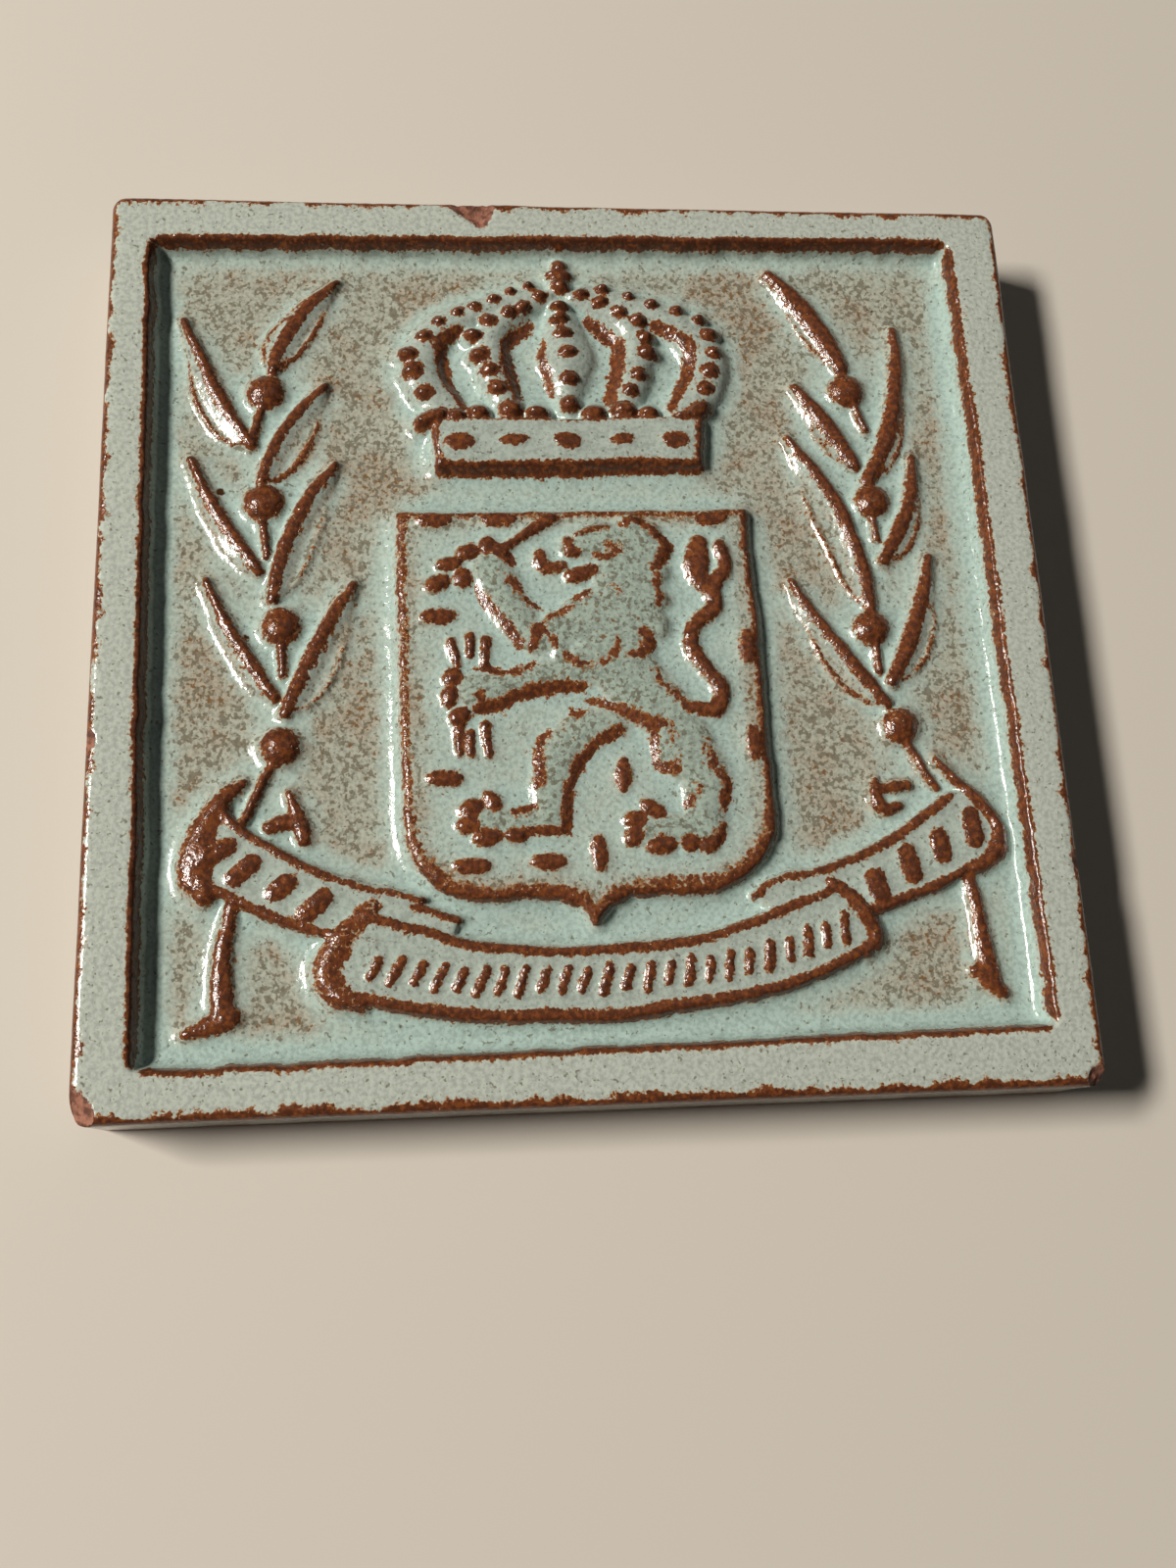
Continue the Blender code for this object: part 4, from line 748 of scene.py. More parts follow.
def makeRibbons():
    inset, flapEdge = ribbons["edgeInset"], ribbons["flapEdge"]
    for flap in ribbons["flaps"]:
        plate(onField, flap, ribbons["flapHeight"])
        ridge(onField, smooth(flap[:4]), flapEdge["halfWidth"], flapEdge["height"], flapEdge["taper"],
              rust=0.8)
    for length in ribbons["lengths"]:
        top, foot = smooth(length["top"]), smooth(length["foot"])
        outline = [*top, *length["rightEnd"], *foot, *length["leftEnd"]]
        plate(onField, outline, ribbons["height"] - length["drop"])
        for line, taper in ((top - (0, inset), length["topTaper"]), (foot + (0, inset), length["footTaper"])):
            ridge(onForms, line, ribbons["edgeHalfWidth"], ribbons["edgeHeight"], taper, rust=0.85)
    for line, halfWidth, taper, height, rust in ribbons["rolls"]:
        ridge(onField, smooth(line), halfWidth, height, taper, dome=0.35, rust=rust)
    makeMarks(ribbons["leftMarks"], ribbons["sideMark"])
    makeMarks(ribbons["rightMarks"], ribbons["sideMark"])
    makeMarks(evenly(smooth(ribbons["centreMarks"]), ribbons["centreMarkCount"]), ribbons["centreMark"])


# Rim: the wall of the sunk field, and the rust along the outer arris
rim = {
    # Section of the wall: how far in from the rim's edge, and how high above the ground
    "inset": (-0.5, -0.15, 0.1, 0.3, 0.5, 0.7, 0.95, 1.3, 1.8, 2.5, 3.3),
    "height": (3.0, 2.98, 2.8, 2.3, 1.65, 1.05, 0.6, 0.3, 0.13, 0.03, 0.0),
    "wallWander": (2.0, 0.07),  # size of its lumps, and how far they stand
    "cornerSoft": 0.8,  # how softly two walls meet in a corner
    "clearedTo": 1.0,  # forms that run this near to the rim lose their rust
    "arrisBreak": {"left": 0.55, "right": 0.65, "foot": 0.85, "top": 0.8},  # how wide the rust is
    "arrisRagged": (1.6, 0.2),
}


def makeRim():
    # The wall and rim rise over whatever reaches them; the wall's foot runs out in a wide fillet
    shiftX, shiftY = tileBody["fieldShift"]
    size, reach = rim["wallWander"]
    localX = np.abs((gridX - shiftX) * turnCos + (gridY - shiftY) * turnSin)
    localY = np.abs((gridY - shiftY) * turnCos - (gridX - shiftX) * turnSin)
    localX = localX + reach * softNoise(size, seeds["wallX"])
    localY = localY + reach * softNoise(size, seeds["wallY"])
    inset = smoothMin(fieldSide / 2 - localX, fieldSide / 2 - localY, rim["cornerSoft"])
    rise = np.interp(inset, rim["inset"], rim["height"])
    surface[:] = np.maximum(surface, fieldZ + rise * (topZ - fieldZ) / tileBody["fieldDepth"])
    rusty[inset < rim["clearedTo"]] = 0
    size, reach = rim["arrisRagged"]
    ragged = reach * softNoise(size, seeds["arris"])
    fromEdges = {"left": halfSide + gridX, "right": halfSide - gridX,
                 "foot": halfSide + gridY, "top": halfSide - gridY}
    for name, fromEdge in fromEdges.items():
        outside = fromEdge - rim["arrisBreak"][name] - ragged
        rusty[:] = np.maximum(rusty, fade(outside, *markFades["stroke"]))


# Chips: the corners and edges knocked off, down to bare clay
chips = {
    "top": {"outline": [(-17.4, 56.5), (-13.6, 53.6), (-10.6, 50.9), (-9.2, 52.6), (-8.2, 56.5)],
            "depth": 0.75, "slope": 0.7},
    # Where, half sizes, depth in the middle, and turn
    "bites": (
        ((-55.0, -55.0), (3.0, 4.4), 2.6, 0.2), ((55.0, -55.0), (2.6, 2.6), 2.6, 0.1),
        ((-55.0, -14.0), (1.1, 1.7), 0.9, 0.1), ((55.0, -29.5), (1.0, 2.2), 0.9, -0.1),
    ),
    "biteWindow": 0.3,
    "grit": ((1.2, 0.09), (0.5, 0.054)),  # size of its lumps, and how far they stand
    "clayFull": 0.08,  # the clay is bare where more than this much is gone
}
bareClay = np.zeros(gridX.shape)


def cutChips():
    rough = sum(reach * softNoise(size, seeds["chips"] + index)
                for index, (size, reach) in enumerate(chips["grit"]))
    top = chips["top"]
    depth = -shapeOutside(gridX, gridY, top["outline"])
    cut = np.where(depth > 0, topZ - np.minimum(top["depth"], top["slope"] * depth) + rough, farAway)
    for spot, halfSizes, bite, turn in chips["bites"]:
        beyond = spotOutside(gridX, gridY, spot, halfSizes, turn) / min(halfSizes)
        bitten = np.where(beyond < chips["biteWindow"], topZ + bite * beyond + rough, farAway)
        cut = np.minimum(cut, bitten)
    bareClay[:] = np.clip((surface - cut) / chips["clayFull"], 0, 1)
    surface[:] = np.minimum(surface, cut)


# Last touches: the size of the lumps, and how far they stand
lastTouches = {
    "rustKnobs": (0.6, 0.02),  # the broken glaze is knobbly
    "melt": 0.11,              # how far the molten glaze has rounded every arris
    "unevenness": (7.0, 0.02),
}

makeShield()
makeLion()
makeCrown()
makeBranches()
makeRibbons()
print("relief raised")
surface = fieldZ + onField + onForms
makeRim()
size, reach = lastTouches["rustKnobs"]
surface += reach * softNoise(size, seeds["rustKnobs"]) * np.clip(rusty, 0, 1)
surface = blur(surface, lastTouches["melt"]) - arrisDrop
cutChips()
size, reach = lastTouches["unevenness"]
surface += reach * softNoise(size, seeds["unevenness"])
surface = np.minimum(surface, tileBody["thickness"])
print("rim and chips done")

# Where the glaze ran thin over arrises and steep walls, and thinner still as painted shade on the sides
# turned away from the key light; where it pooled at their feet, and which forms stand clear of the open
# ground
flow = {
    "edgeFall": 3.5,  # beyond the tile's edge the surface counts as this far down
    "edgeBlur": 0.5, "thinFull": 0.38,  # thin where a spot stands this far above its blurred self
    "slopeBlur": 0.3, "wallFrom": 0.75, "wallFull": 1.5, "wallThin": 0.7,  # and on slopes this steep
    "clingOnArris": 0.85, "clingOnWall": 0.4,  # less so where the glaze clings
    "shadeSideGain": 1.5, "shadeSideOnWall": (0.85, 0.3), "shadeSideOnRust": (0.95, 0.1),  # more so on the sides turned away from the key light, a painted shade laid over the real thinning
    "spread": 0.12, "thinMost": 1.2,
    # Pooled where a spot lies this far below its blurred self
    "poolBlur": 1.5, "poolFrom": 0.05, "poolFull": 0.3, "poolLeast": -0.5, "poolMost": 1.2,
    "topRimBand": (7, 3), "topRimPool": 0.35,  # little glaze has pooled under the top rim
    "shieldPool": 0.6,
    # Height above the rim, ground or shield where each mark starts, and over which it grows
    "onRim": (-0.5, 0.4), "standing": (0.4, 0.4), "mottled": (0.1, 0.6),
}
beyondEdge = tileBody["thickness"] - flow["edgeFall"]
held = np.clip(clings, 0, 1)
slopeX, slopeY = np.gradient(blur(surface, flow["slopeBlur"]), cellSize)
awayFromKeyLight = np.tanh(flow["shadeSideGain"] * (slopeY - slopeX))  # 1 on walls turned away from the key light, towards the right and the foot, where rust darkens them as painted shade; -1 on walls turned towards it
wallLean, wallShadeGain = flow["shadeSideOnWall"]
# steep walls turned away from the key light count as steeper, so they rust more: painted shade
steepness = np.hypot(slopeX, slopeY) * (wallLean + wallShadeGain * awayFromKeyLight)
wallShare = np.clip((steepness - flow["wallFrom"]) / (flow["wallFull"] - flow["wallFrom"]), 0, 1)
thinGlaze = (surface - blur(surface, flow["edgeBlur"], beyondEdge)) / flow["thinFull"]
thinGlaze *= 1 - flow["clingOnArris"] * held
thinGlaze += flow["wallThin"] * wallShare * (1 - flow["clingOnWall"] * held)
rustLean, rustShadeGain = flow["shadeSideOnRust"]
# rust strokes run fuller on the sides turned away from the key light: painted shade
thinGlaze = np.maximum(thinGlaze, rusty * (rustLean + rustShadeGain * awayFromKeyLight))
thinGlaze = np.clip(blur(thinGlaze, flow["spread"]), 0, flow["thinMost"])


def risenPast(level, start, span):
    # 0 as far as start above a level, and growing to 1 over the span
    return np.clip((surface - level - start) / span, 0, 1)


onRim = risenPast(topZ, *flow["onRim"]) * (1 - onShield)
standing = risenPast(fieldZ, *flow["standing"]) * (1 - onShield)
mottled = risenPast(shieldZ, *flow["mottled"]) * onShield  # the lion
pooled = blur(surface, flow["poolBlur"], beyondEdge) - surface - flow["poolFrom"]
bandFrom, bandTo = (fieldSide / 2 - inset for inset in flow["topRimBand"])
pooled *= np.interp(gridY, (bandFrom, bandTo), (1, flow["topRimPool"]))
pooled = np.clip(pooled / flow["poolFull"], flow["poolLeast"], flow["poolMost"])
pooled += flow["shieldPool"] * onShield * (1 - mottled)
glazeMarks = {
    "thinGlaze": thinGlaze, "pooledGlaze": pooled, "bareClay": bareClay,
    "onRim": onRim, "standing": standing, "mottled": mottled,
}


def grow(flags):
    # Flags spread to their eight neighbours
    wide = np.pad(flags, 1)
    return np.any([wide[1 + i:wide.shape[0] - 1 + i, 1 + j:wide.shape[1] - 1 + j]
                   for i in (-1, 0, 1) for j in (-1, 0, 1)], axis=0)


def anyOfFour(flags):
    return flags[::2, ::2] | flags[1::2, ::2] | flags[::2, 1::2] | flags[1::2, 1::2]


def twice(flags):
    return flags.repeat(2, axis=0).repeat(2, axis=1)


def strayed(heights, size, tolerance):
    # Blocks of the lattice whose surface leaves the flat patch through their corners
    corners = [heights[i:cells + 1 - size + i:size, j:cells + 1 - size + j:size]
               for i in (0, size) for j in (0, size)]
    worst = np.zeros(corners[0].shape)
    for i in range(size + 1):
        for j in range(size + 1):
            s, t = i / size, j / size
            flat = ((1 - s) * (1 - t) * corners[0] + (1 - s) * t * corners[1]
                    + s * (1 - t) * corners[2] + s * t * corners[3])
            there = heights[i:cells + 1 - size + i:size, j:cells + 1 - size + j:size]
            worst = np.maximum(worst, np.abs(there - flat))
    return worst > tolerance


def patchwork(heights, tints, largest, tolerance):
    # Faces from large to small squares, fine where the surface or the glaze's tints change fast,
    # with no gaps between sizes
    split = {2: strayed(heights, 2, tolerance)}
    split[2][[0, -1], :] = split[2][:, [0, -1]] = False
    size = 4
    while size <= largest:
        split[size] = strayed(heights, size, tolerance) | anyOfFour(grow(split[size // 2]))
        for tint in tints:
            split[size] |= strayed(tint, size, meshing["tintTolerance"])
        if size == 4:
            split[4][[0, -1], :] = split[4][:, [0, -1]] = True
        size *= 2
    used = np.zeros((cells + 1, cells + 1), bool)
    squares = []
    stillWhole = np.ones((cells // largest,) * 2, bool)
    size = largest
    while size >= 1:
        here = stillWhole & ~split[size] if size > 1 else stillWhole
        i, j = np.nonzero(here)
        i, j = i * size, j * size
        squares.append((size, i, j))
        for a in (0, size):
            for b in (0, size):
                used[i + a, j + b] = True
        stillWhole = twice(stillWhole & split[size]) if size > 1 else stillWhole
        size //= 2
    number = np.where(used, np.cumsum(used.ravel()).reshape(used.shape) - 1, -1)
    faces = []
    for size, i, j in squares:
        half = size // 2
        ring = [(0, 0), (half, 0), (size, 0), (size, half), (size, size), (half, size), (0, size), (0, half)]
        if size == 1:
            ring = ring[::2]
        rows = np.column_stack([number[i + a, j + b] for a, b in ring])
        faces += [row[row >= 0].tolist() for row in rows]
    return used, number, faces


# Keying grooves pressed into the bare back
grooves = {"count": 6, "width": 5.0, "depth": 0.8, "endMargin": 9.0, "lean": 0.45}


def backHeights(x, y):
    pitch = side / (grooves["count"] + 1)
    heights = np.zeros(x.shape)
    for index in range(grooves["count"]):
        across = grooves["width"] / 2 - np.abs(y - ((index + 1) * pitch - halfSide))
        along = halfSide - grooves["endMargin"] - np.abs(x)
        depth = np.minimum(across, along) / grooves["lean"] + 0.5  # half deep at the groove's edge
        heights = np.maximum(heights, grooves["depth"] * np.clip(depth, 0, 1))
    return heights


def edgeLoop(number):
    # Lattice points round the edge, two cells apart, counter-clockwise from above
    steps = np.arange(0, cells, 2)
    last = np.full(len(steps), cells)
    first = np.zeros(len(steps), int)
    i = np.concatenate([steps, last, cells - steps, first])
    j = np.concatenate([first, steps, last, cells - steps])
    return i, j, number[i, j]


# Sides: how far down each ring of points lies, how hollow they are, and how thin the glaze is
# at the arrises against the middle
sideWall = {
    "shares": (0.12, 0.3, 0.5, 0.7, 0.88, 1.0),
    "hollowLumps": 5.0, "hollow": 0.05,
    "straightBand": 0.5,  # points this near to a side belong to it
    "thinAtArris": 0.75, "thinLost": 0.6,
    "clayFrom": 0.9,
    "marks": {"pooledGlaze": 0.1, "onRim": 0.3, "standing": 1.0, "mottled": 0.0},
}


def makeTile():
    topUsed, topNumber, faces = patchwork(
        surface, (thinGlaze, bareClay), meshing["topCell"], meshing["tolerance"])
    points = [np.column_stack([gridX[topUsed], gridY[topUsed], surface[topUsed]])]
    marks = {name: [field[topUsed]] for name, field in glazeMarks.items()}
    print("glazed face:", len(faces), "faces")
    total = topUsed.sum()

    radius = tileBody["backArrisRadius"]
    backHalf = halfSide - radius
    backPlace = np.linspace(-backHalf, backHalf, cells + 1)
    backX, backY = np.meshgrid(backPlace, backPlace, indexing="ij")
    backX, backY = roundCorners(backX, backY, backHalf, tileBody["cornerRadius"] - radius)
    backZ = backHeights(backX, backY)
    backUsed, backNumber, backFaces = patchwork(backZ, (), meshing["backCell"], meshing["backTolerance"])
    backSpots = np.column_stack([backX[backUsed], backY[backUsed], backZ[backUsed]])

    # Side wall: rings from the glazed face's edge down and round the back arris
    i, j, upper = edgeLoop(topNumber)
    lower = edgeLoop(backNumber)[2]
    count = len(i)
    topEdge = np.column_stack([gridX[i, j], gridY[i, j], surface[i, j]])
    backEdge = np.column_stack([backX[i, j], backY[i, j], np.zeros(count)])
    lumps = np.tanh(softNoise(sideWall["hollowLumps"], seeds["sideHollow"])[i, j])
    rings = [upper]
    for share in sideWall["shares"]:
        middle = math.sin(math.pi * share)
        ring = topEdge.copy()
        ring[:, 2] += (radius - topEdge[:, 2]) * share
        inward = sideWall["hollow"] * (1 + lumps) * middle
        onSide = np.abs(ring[:, :2]) > halfSide - sideWall["straightBand"]
        ring[:, :2] -= np.sign(ring[:, :2]) * onSide * inward[:, None]
        points.append(ring)
        rings.append(total + np.arange(count))
        total += count
        here = {
            **sideWall["marks"],
            "thinGlaze": sideWall["thinAtArris"] - sideWall["thinLost"] * middle,
            "bareClay": float(share > sideWall["clayFrom"]),
        }
        for name, value in here.items():
            marks[name].append(np.full(count, value))
    turned = 1 - math.sin(math.pi / 4)  # one ring half way round the back arris
    mid = backEdge + (topEdge - backEdge) * (1, 1, 0) * turned
    mid[:, 2] = radius * turned
    points.append(mid)
    rings.append(total + np.arange(count))
    total += count
    backStart = total
    points.append(backSpots)
    rings.append(backStart + lower)
    for name, values in marks.items():
        values.append(np.full(count + len(backSpots), float(name == "bareClay")))
    glazedFaces = len(faces)
    for above, below in zip(rings, rings[1:]):
        around = (above, below, np.roll(below, -1), np.roll(above, -1))
        faces += np.column_stack(around).tolist()
        if below is rings[-3]:
            glazedFaces = len(faces)
    faces += [[backStart + corner for corner in reversed(face)] for face in backFaces]

    mesh = bpy.data.meshes.new("glazedTile")
    mesh.from_pydata((np.vstack(points) * mm).tolist(), [], faces)
    mesh.shade_smooth()
    for name, values in marks.items():
        mesh.attributes.new(name, "FLOAT", "POINT").data.foreach_set(
            "value", np.concatenate(values).astype(np.float32))
    materialOf = np.zeros(len(faces), np.int32)
    materialOf[glazedFaces:] = 1
    mesh.materials.append(celadonGlaze())
    mesh.materials.append(bareStoneware())
    mesh.polygons.foreach_set("material_index", materialOf)
    mesh.update()
    tile = bpy.data.objects.new("glazedTile", mesh)
    bpy.context.scene.collection.objects.link(tile)
    print("tile:", sum(len(face) - 2 for face in faces), "triangles")
    return tile


def linear(hexColour):
    # sRGB hex to the linear values that shaders take
    parts = [int(hexColour[k:k + 2], 16) / 255 for k in (1, 3, 5)]
    return (*(c / 12.92 if c <= 0.04045 else ((c + 0.055) / 1.055) ** 2.4 for c in parts), 1)


def addNode(tree, kind, settings, feeds, output=0):
    # One node: settings are its own properties, feeds are values or other outputs for its inputs
    node = tree.nodes.new("ShaderNode" + kind)
    for name, value in settings.items():
        setattr(node, name, value)
    for name, value in feeds.items():
        if isinstance(value, bpy.types.NodeSocket):
            tree.links.new(value, node.inputs[name])
        else:
            node.inputs[name].default_value = value
    return node.outputs[output]


def startMaterial(name):
    # A new material with its tree and shader, and places on the tile in mm
    material = bpy.data.materials.new(name)
    material.use_nodes = True
    tree = material.node_tree
    coords = addNode(tree, "TexCoord", {}, {}, "Object")
    inMm = addNode(tree, "VectorMath", {"operation": "SCALE"}, {0: coords, "Scale": 1 / mm})
    return material, tree, tree.nodes["Principled BSDF"], inMm


# Settings that many nodes share
multiply, multiplyAdd = {"operation": "MULTIPLY"}, {"operation": "MULTIPLY_ADD"}
subtract, maximum = {"operation": "SUBTRACT"}, {"operation": "MAXIMUM"}
smoothRamp = {"interpolation_type": "SMOOTHSTEP"}
mixColour = {"data_type": "RGBA", "clamp_factor": True}

# Celadon glaze, dipped and fired over brown stoneware: glassy grey-green where it is thick,
# broken to rust on every edge, freckled with iron where it lies thin on the open ground
glaze = {
    "pool": "#a9b8ae",
    "poolDeep": "#a4b9b1",
    "standing": "#a4afa5",
    "ground": "#a9ab9c",
    "groundWarm": "#a59d8b",
    "mottled": "#9ba99d",
    "rim": "#b1b8ad",
    "speck": "#5c513b",
    "freckle": "#76532b",
    "ironSpot": "#46290f",
    "fringe": "#96602f",
    "orange": "#854d24",
    "rust": "#6a3a22",
    "darkRust": "#4b2b1c",
    "clay": "#96634e",
    "clayDark": "#5a3322",
    # Sizes in mm and detail of the noises
    "noises": {
        "grain": (0.5, 3), "fine": (0.45, 3), "speck": (0.52, 2), "freckle": (0.6, 3), "middle": (1.8, 2),
        "broad": (6.0, 3), "tone": (0.6, 3), "peel": (0.7, 3), "clay": (1.0, 4), "grit": (0.35, 4),
    },
    "noisesApart": 4.0,  # along the fourth axis, so that no two noises are alike
    "ironSpacing": 13.0,
    # Ramps: inputs 1 and 2 are where each starts and ends, 3 and 4 its values there
    "ramps": {
        "inPool": {1: 0.4, 2: 1.25}, "inDeepPool": {1: 1.1, 2: 1.7}, "cluster": {1: 0.44, 2: 0.6},
        "grainLow": {3: 0.74, 4: 0.84}, "grain": {1: 0.36, 2: 0.6, 4: 1.1},
        "speckFrom": {3: 0.5, 4: 0.62}, "speckShare": {1: 0.0, 2: 0.07, 4: 0.66},
        "freckleFrom": {3: 0.63, 4: 0.55}, "freckleShare": {1: 0.0, 2: 0.05, 4: 0.9},
        "ironShare": {1: 0.065, 2: 0.085, 3: 1.0, 4: 0.0},
        "broken": {1: 1.38, 2: 1.5}, "fringe": {1: 1.25, 2: 1.4},
        "inDark": {1: 0.86, 2: 1.06, 4: 0.85}, "inOrange": {1: 0.48, 2: 0.36, 4: 0.6},
        "clayTone": {1: 0.4, 2: 0.6}, "clayShare": {1: 0.6, 2: 0.9},
    },
    # How much of a noise or mark goes into what it alters
    "middleInDepth": 1.0,
    "mottledInSpeck": 0.03,
    "coveredInFreckle": 0.12, "mottledInFreckle": 0.05,
    "fineInIron": 0.07,
    "fineInWear": 1.4, "middleInWear": 0.45,
    "wearInPatches": 0.25,
    "fineInClay": 0.5,
    # Glassy where whole, a little duller on rust and freckles, dead matt on the clay
    "roughness": {"whole": 0.15, "broken": 0.04, "freckle": 0.15, "clay": 0.6},
    "ior": 1.52,
    # Orange peel in the glaze, a pitted skin on the breaks, grit on the clay
    "relief": {"peel": 2.2, "tone": 4.5, "grit": 4.0, "grain": 0.8},
    "bump": {"Strength": 0.8, "Distance": 0.04 * mm},
}


def celadonGlaze():
    material, tree, shader, inMm = startMaterial("celadonGlazeOverStoneware")
    ramps, rough, heights = glaze["ramps"], glaze["roughness"], glaze["relief"]
    mark = {
        name: addNode(tree, "Attribute", {"attribute_name": name}, {}, "Fac") for name in glazeMarks
    }
    noise = {
        name: addNode(
            tree, "TexNoise", {"noise_dimensions": "4D"},
            {"Vector": inMm, "W": glaze["noisesApart"] * index, "Scale": 1 / size, "Detail": detail})
        for index, (name, (size, detail)) in enumerate(glaze["noises"].items())
    }

    # How deep the glaze lies, where the thin ground is rusty, and where that ground is open
    depth = addNode(tree, "Math", multiplyAdd,
                    {0: noise["middle"], 1: glaze["middleInDepth"], 2: mark["pooledGlaze"]})
    inPool = addNode(tree, "MapRange", smoothRamp, {0: depth, **ramps["inPool"]})
    inDeepPool = addNode(tree, "MapRange", smoothRamp, {0: depth, **ramps["inDeepPool"]})
    cluster = addNode(tree, "MapRange", smoothRamp, {0: noise["broad"], **ramps["cluster"]})
    covered = addNode(tree, "Math", maximum, {0: inPool, 1: mark["standing"]})
    covered = addNode(tree, "Math", maximum, {0: covered, 1: mark["onRim"]})

    body = linear(glaze["ground"])
    for share, tint in (
        (cluster, "groundWarm"), (mark["mottled"], "mottled"), (mark["standing"], "standing"),
        (inPool, "pool"), (inDeepPool, "poolDeep"), (mark["onRim"], "rim"),
    ):
        body = addNode(tree, "Mix", mixColour, {0: share, 6: body, 7: linear(glaze[tint])}, 2)

    # A fine grain, strong on open ground and fainter where the glaze lies thick
    grainLow = addNode(tree, "MapRange", {}, {0: covered, **ramps["grainLow"]})
    grain = addNode(tree, "MapRange", smoothRamp, {0: noise["grain"], 3: grainLow, **ramps["grain"]})
    body = addNode(tree, "Mix", {"data_type": "RGBA", "blend_type": "MULTIPLY"},
                   {0: 1.0, 6: body, 7: grain}, 2)

    # Grey specks, brown iron freckles in clusters, and a few dark iron spots
    speckFrom = addNode(tree, "MapRange", {}, {0: covered, **ramps["speckFrom"]})
    speckFrom = addNode(tree, "Math", multiplyAdd,
                        {0: mark["mottled"], 1: glaze["mottledInSpeck"], 2: speckFrom})
    speckOver = addNode(tree, "Math", subtract, {0: noise["speck"], 1: speckFrom})
    speckShare = addNode(tree, "MapRange", smoothRamp, {0: speckOver, **ramps["speckShare"]})
    freckleFrom = addNode(tree, "MapRange", {}, {0: cluster, **ramps["freckleFrom"]})
    for there, much in ((covered, "coveredInFreckle"), (mark["mottled"], "mottledInFreckle")):
        freckleFrom = addNode(tree, "Math", multiplyAdd, {0: there, 1: glaze[much], 2: freckleFrom})
    freckleOver = addNode(tree, "Math", subtract, {0: noise["freckle"], 1: freckleFrom})
    freckleShare = addNode(tree, "MapRange", smoothRamp, {0: freckleOver, **ramps["freckleShare"]})
    iron = addNode(tree, "TexVoronoi", {}, {"Vector": inMm, "Scale": 1 / glaze["ironSpacing"]}, "Distance")
    iron = addNode(tree, "Math", multiplyAdd, {0: noise["fine"], 1: glaze["fineInIron"], 2: iron})
    ironShare = addNode(tree, "MapRange", smoothRamp, {0: iron, **ramps["ironShare"]})
    for share, tint in ((speckShare, "speck"), (freckleShare, "freckle"), (ironShare, "ironSpot")):
        body = addNode(tree, "Mix", mixColour, {0: share, 6: body, 7: linear(glaze[tint])}, 2)

    # Rust where the glaze broke: ragged, ochre for a hair's breadth at its fringe, darker in patches
    wear = mark["thinGlaze"]
    for name, much in (("fine", "fineInWear"), ("middle", "middleInWear")):
        wear = addNode(tree, "Math", multiplyAdd, {0: noise[name], 1: glaze[much], 2: wear})
    broken = addNode(tree, "MapRange", smoothRamp, {0: wear, **ramps["broken"]})
    fringe = addNode(tree, "MapRange", smoothRamp, {0: wear, **ramps["fringe"]})
    patchy = addNode(tree, "Math", multiplyAdd, {0: wear, 1: glaze["wearInPatches"], 2: noise["tone"]})
    inDark = addNode(tree, "MapRange", smoothRamp, {0: patchy, **ramps["inDark"]})
    darkBroken = addNode(tree, "Math", multiply, {0: inDark, 1: broken})
    inOrange = addNode(tree, "MapRange", smoothRamp, {0: noise["tone"], **ramps["inOrange"]})
    orangeBroken = addNode(tree, "Math", multiply, {0: inOrange, 1: broken})

    # Bare clay in the chips
    clayTone = addNode(tree, "MapRange", smoothRamp, {0: noise["clay"], **ramps["clayTone"]})
    clayTone = addNode(tree, "Mix", mixColour,
                       {0: clayTone, 6: linear(glaze["clayDark"]), 7: linear(glaze["clay"])}, 2)
    clayOver = addNode(tree, "Math", multiplyAdd,
                       {0: noise["fine"], 1: glaze["fineInClay"], 2: mark["bareClay"]})
    clayShare = addNode(tree, "MapRange", smoothRamp, {0: clayOver, **ramps["clayShare"]})
    for share, tint in (
        (fringe, linear(glaze["fringe"])), (broken, linear(glaze["rust"])),
        (orangeBroken, linear(glaze["orange"])), (darkBroken, linear(glaze["darkRust"])),
        (clayShare, clayTone),
    ):
        body = addNode(tree, "Mix", mixColour, {0: share, 6: body, 7: tint}, 2)
    tree.links.new(body, shader.inputs["Base Color"])

    gloss = addNode(tree, "Math", multiplyAdd, {0: broken, 1: rough["broken"], 2: rough["whole"]})
    gloss = addNode(tree, "Math", multiplyAdd, {0: freckleShare, 1: rough["freckle"], 2: gloss})
    gloss = addNode(tree, "Math", {**multiplyAdd, "use_clamp": True},
                    {0: clayShare, 1: rough["clay"], 2: gloss})
    tree.links.new(gloss, shader.inputs["Roughness"])
    shader.inputs["IOR"].default_value = glaze["ior"]
    shader.inputs["Metallic"].default_value = 0.0

    relief = addNode(tree, "Math", multiply, {0: noise["peel"], 1: heights["peel"]})
    for share, source in ((broken, "tone"), (clayShare, "grit"), (covered, "grain")):
        layer = addNode(tree, "Math", multiply, {0: share, 1: noise[source]})
        relief = addNode(tree, "Math", multiplyAdd, {0: layer, 1: heights[source], 2: relief})
    bump = addNode(tree, "Bump", {}, {**glaze["bump"], "Height": relief})
    tree.links.new(bump, shader.inputs["Normal"])
    return material


# Bare stoneware, pressed in a die and fired: matt buff-brown clay with coarse dark grog
stoneware = {
    "clay": "#a47a60", "clayDark": "#8c644d", "grog": "#4c3527",
    "grogSpacing": 1.3, "grainSize": 0.4, "cloudSize": 8.0, "detail": 4,
    "cloudRamp": {1: 0.35, 2: 0.65},
    "grogRamp": {1: 0.1, 2: 0.16, 3: 0.7, 4: 0.0},
    "roughness": 0.85,
    "bump": {"Strength": 0.7, "Distance": 0.12 * mm},
}


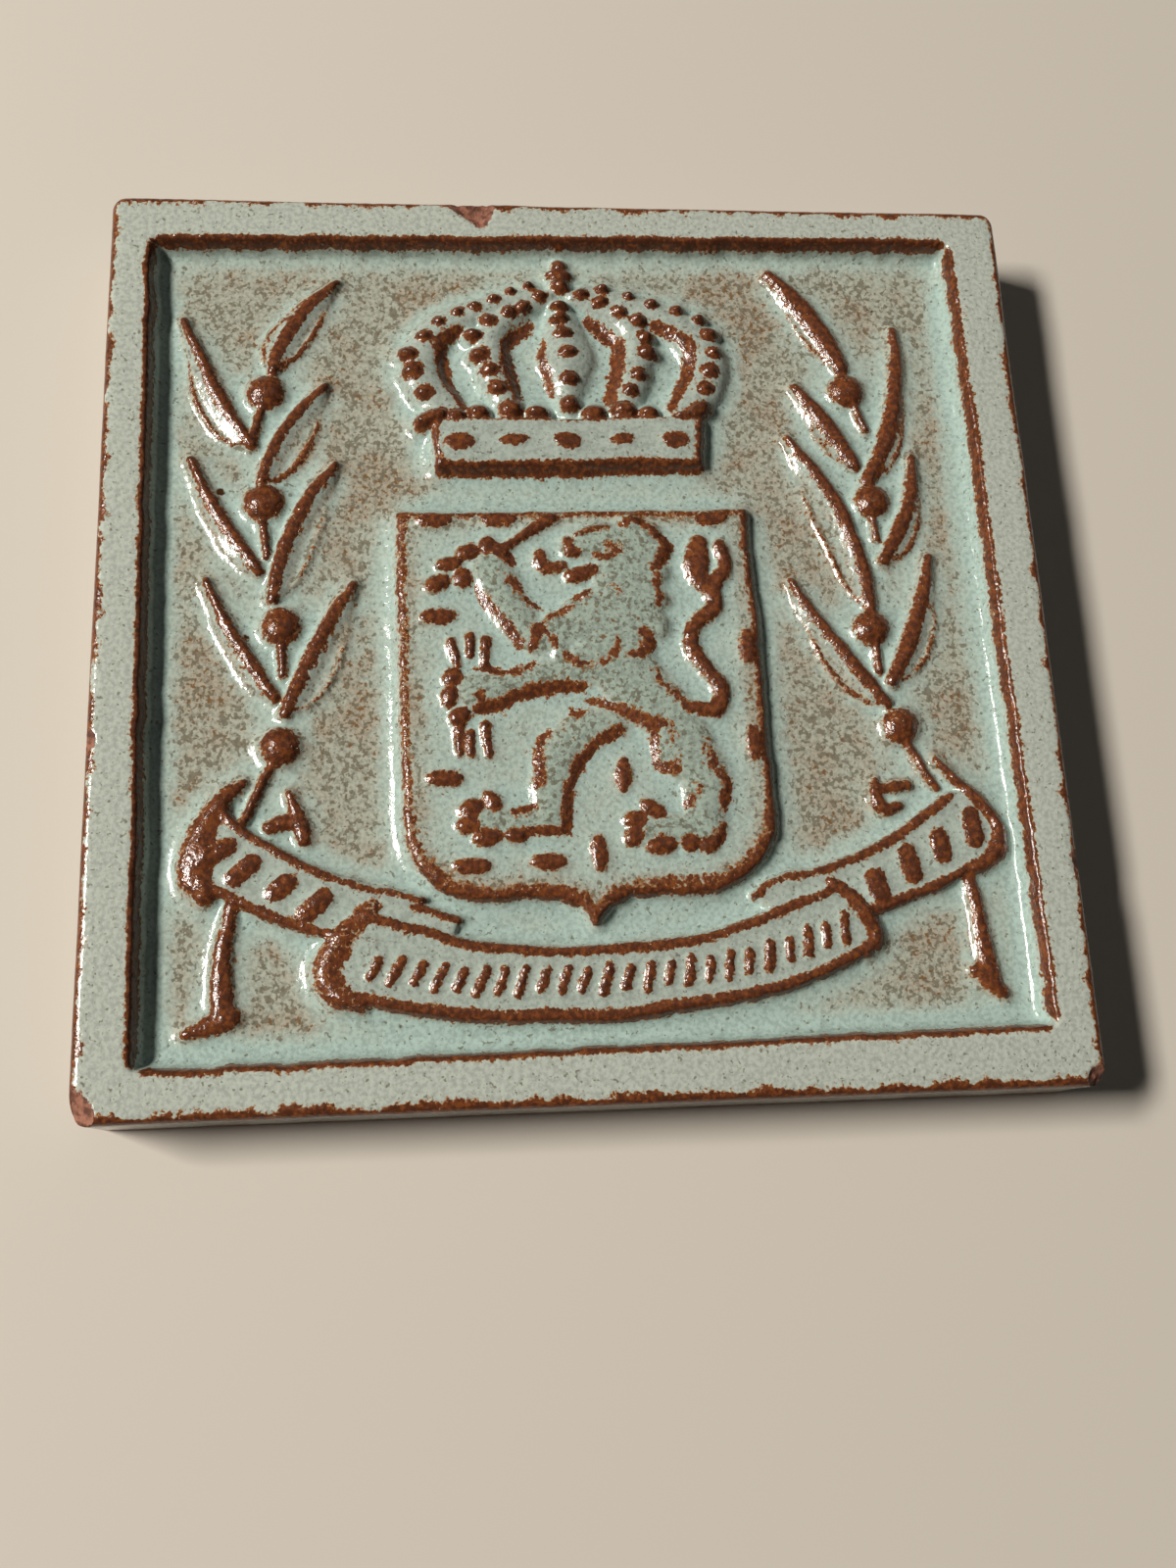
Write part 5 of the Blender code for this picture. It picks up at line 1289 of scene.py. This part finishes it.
def bareStoneware():
    material, tree, shader, inMm = startMaterial("pressedBareStoneware")
    clouds, grain = (
        addNode(tree, "TexNoise", {},
                {"Vector": inMm, "Scale": 1 / stoneware[size], "Detail": stoneware["detail"]})
        for size in ("cloudSize", "grainSize")
    )
    grog = addNode(tree, "TexVoronoi", {},
                   {"Vector": inMm, "Scale": 1 / stoneware["grogSpacing"]}, "Distance")
    cloudShare = addNode(tree, "MapRange", {}, {0: clouds, **stoneware["cloudRamp"]})
    grogShare = addNode(tree, "MapRange", {}, {0: grog, **stoneware["grogRamp"]})
    body = linear(stoneware["clayDark"])
    for share, tint in ((cloudShare, "clay"), (grogShare, "grog")):
        body = addNode(tree, "Mix", {"data_type": "RGBA"}, {0: share, 6: body, 7: linear(stoneware[tint])}, 2)
    tree.links.new(body, shader.inputs["Base Color"])
    shader.inputs["Roughness"].default_value = stoneware["roughness"]
    bump = addNode(tree, "Bump", {}, {**stoneware["bump"], "Height": grain})
    tree.links.new(bump, shader.inputs["Normal"])
    return material


tile = makeTile()
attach(tile, "root")
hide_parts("tile")

# Plain pale floor, painted board with a dead matt coat
stage = {"size": 1.6, "colour": "#cdc6bb", "roughness": 0.85}


def makeFloor():
    bpy.ops.mesh.primitive_plane_add(size=stage["size"])
    floor = bpy.context.object
    floor.name = "paleFloor"
    material = bpy.data.materials.new("mattPaintedBoard")
    material.use_nodes = True
    shader = material.node_tree.nodes["Principled BSDF"]
    shader.inputs["Base Color"].default_value = linear(stage["colour"])
    shader.inputs["Roughness"].default_value = stage["roughness"]
    floor.data.materials.append(material)


# Soft studio light: a long softbox low on the left, a weak wide one overhead
lights = {
    "key": {"towards": (-0.93, 0.14, 1.0), "distance": 1.5, "size": (0.45, 0.21), "power": 29.0,
            "colour": (1.0, 0.95, 0.88)},
    "fill": {"towards": (0.5, 0.5, 1.0), "distance": 0.9, "size": (0.7, 0.7), "power": 0.23,
             "colour": (1.0, 0.98, 0.94)},
    "ambient": {"colour": (1.0, 0.98, 0.94), "strength": 0.022},
}


def makeLights():
    for name in ("key", "fill"):
        plan = lights[name]
        lamp = bpy.data.lights.new(name + "Softbox", "AREA")
        lamp.shape = "RECTANGLE"
        lamp.size, lamp.size_y = plan["size"]
        lamp.energy = plan["power"]
        lamp.color = plan["colour"]
        holder = bpy.data.objects.new(name + "Softbox", lamp)
        towards = Vector(plan["towards"]).normalized()
        holder.location = towards * plan["distance"]
        holder.rotation_euler = towards.to_track_quat("Z", "Y").to_euler()
        bpy.context.scene.collection.objects.link(holder)
    world = bpy.data.worlds.new("softAmbient")
    world.use_nodes = True
    background = world.node_tree.nodes["Background"]
    background.inputs["Color"].default_value = (*lights["ambient"]["colour"], 1)
    background.inputs["Strength"].default_value = lights["ambient"]["strength"]
    bpy.context.scene.world = world


# Camera at the photograph's place: its eye in mm and its directions, worked out from the tile's corners
view = {
    "eye": (-15.79, -62.32, 166.52),
    "right": (0.99523, -0.04321, 0.08750),
    "down": (-0.01851, -0.96393, -0.26552),
    "forward": (0.09581, 0.26264, -0.96013),
    "lens": 33.3,
    "sensorWidth": 36,
    "clipStart": 1.0,
}


def makeCamera():
    camera = bpy.data.objects.new("photoCamera", bpy.data.cameras.new("photoCamera"))
    bpy.context.scene.collection.objects.link(camera)
    axes = Matrix((view["right"], -Vector(view["down"]), -Vector(view["forward"]))).transposed()
    camera.matrix_world = Matrix.Translation(Vector(view["eye"]) * mm) @ axes.to_4x4()
    camera.data.lens = view["lens"]
    camera.data.sensor_width = view["sensorWidth"]
    camera.data.clip_start = view["clipStart"] * mm
    bpy.context.scene.camera = camera


makeFloor()
makeLights()
makeCamera()
bpy.context.scene.view_settings.view_transform = "Standard"
print("stage ready")
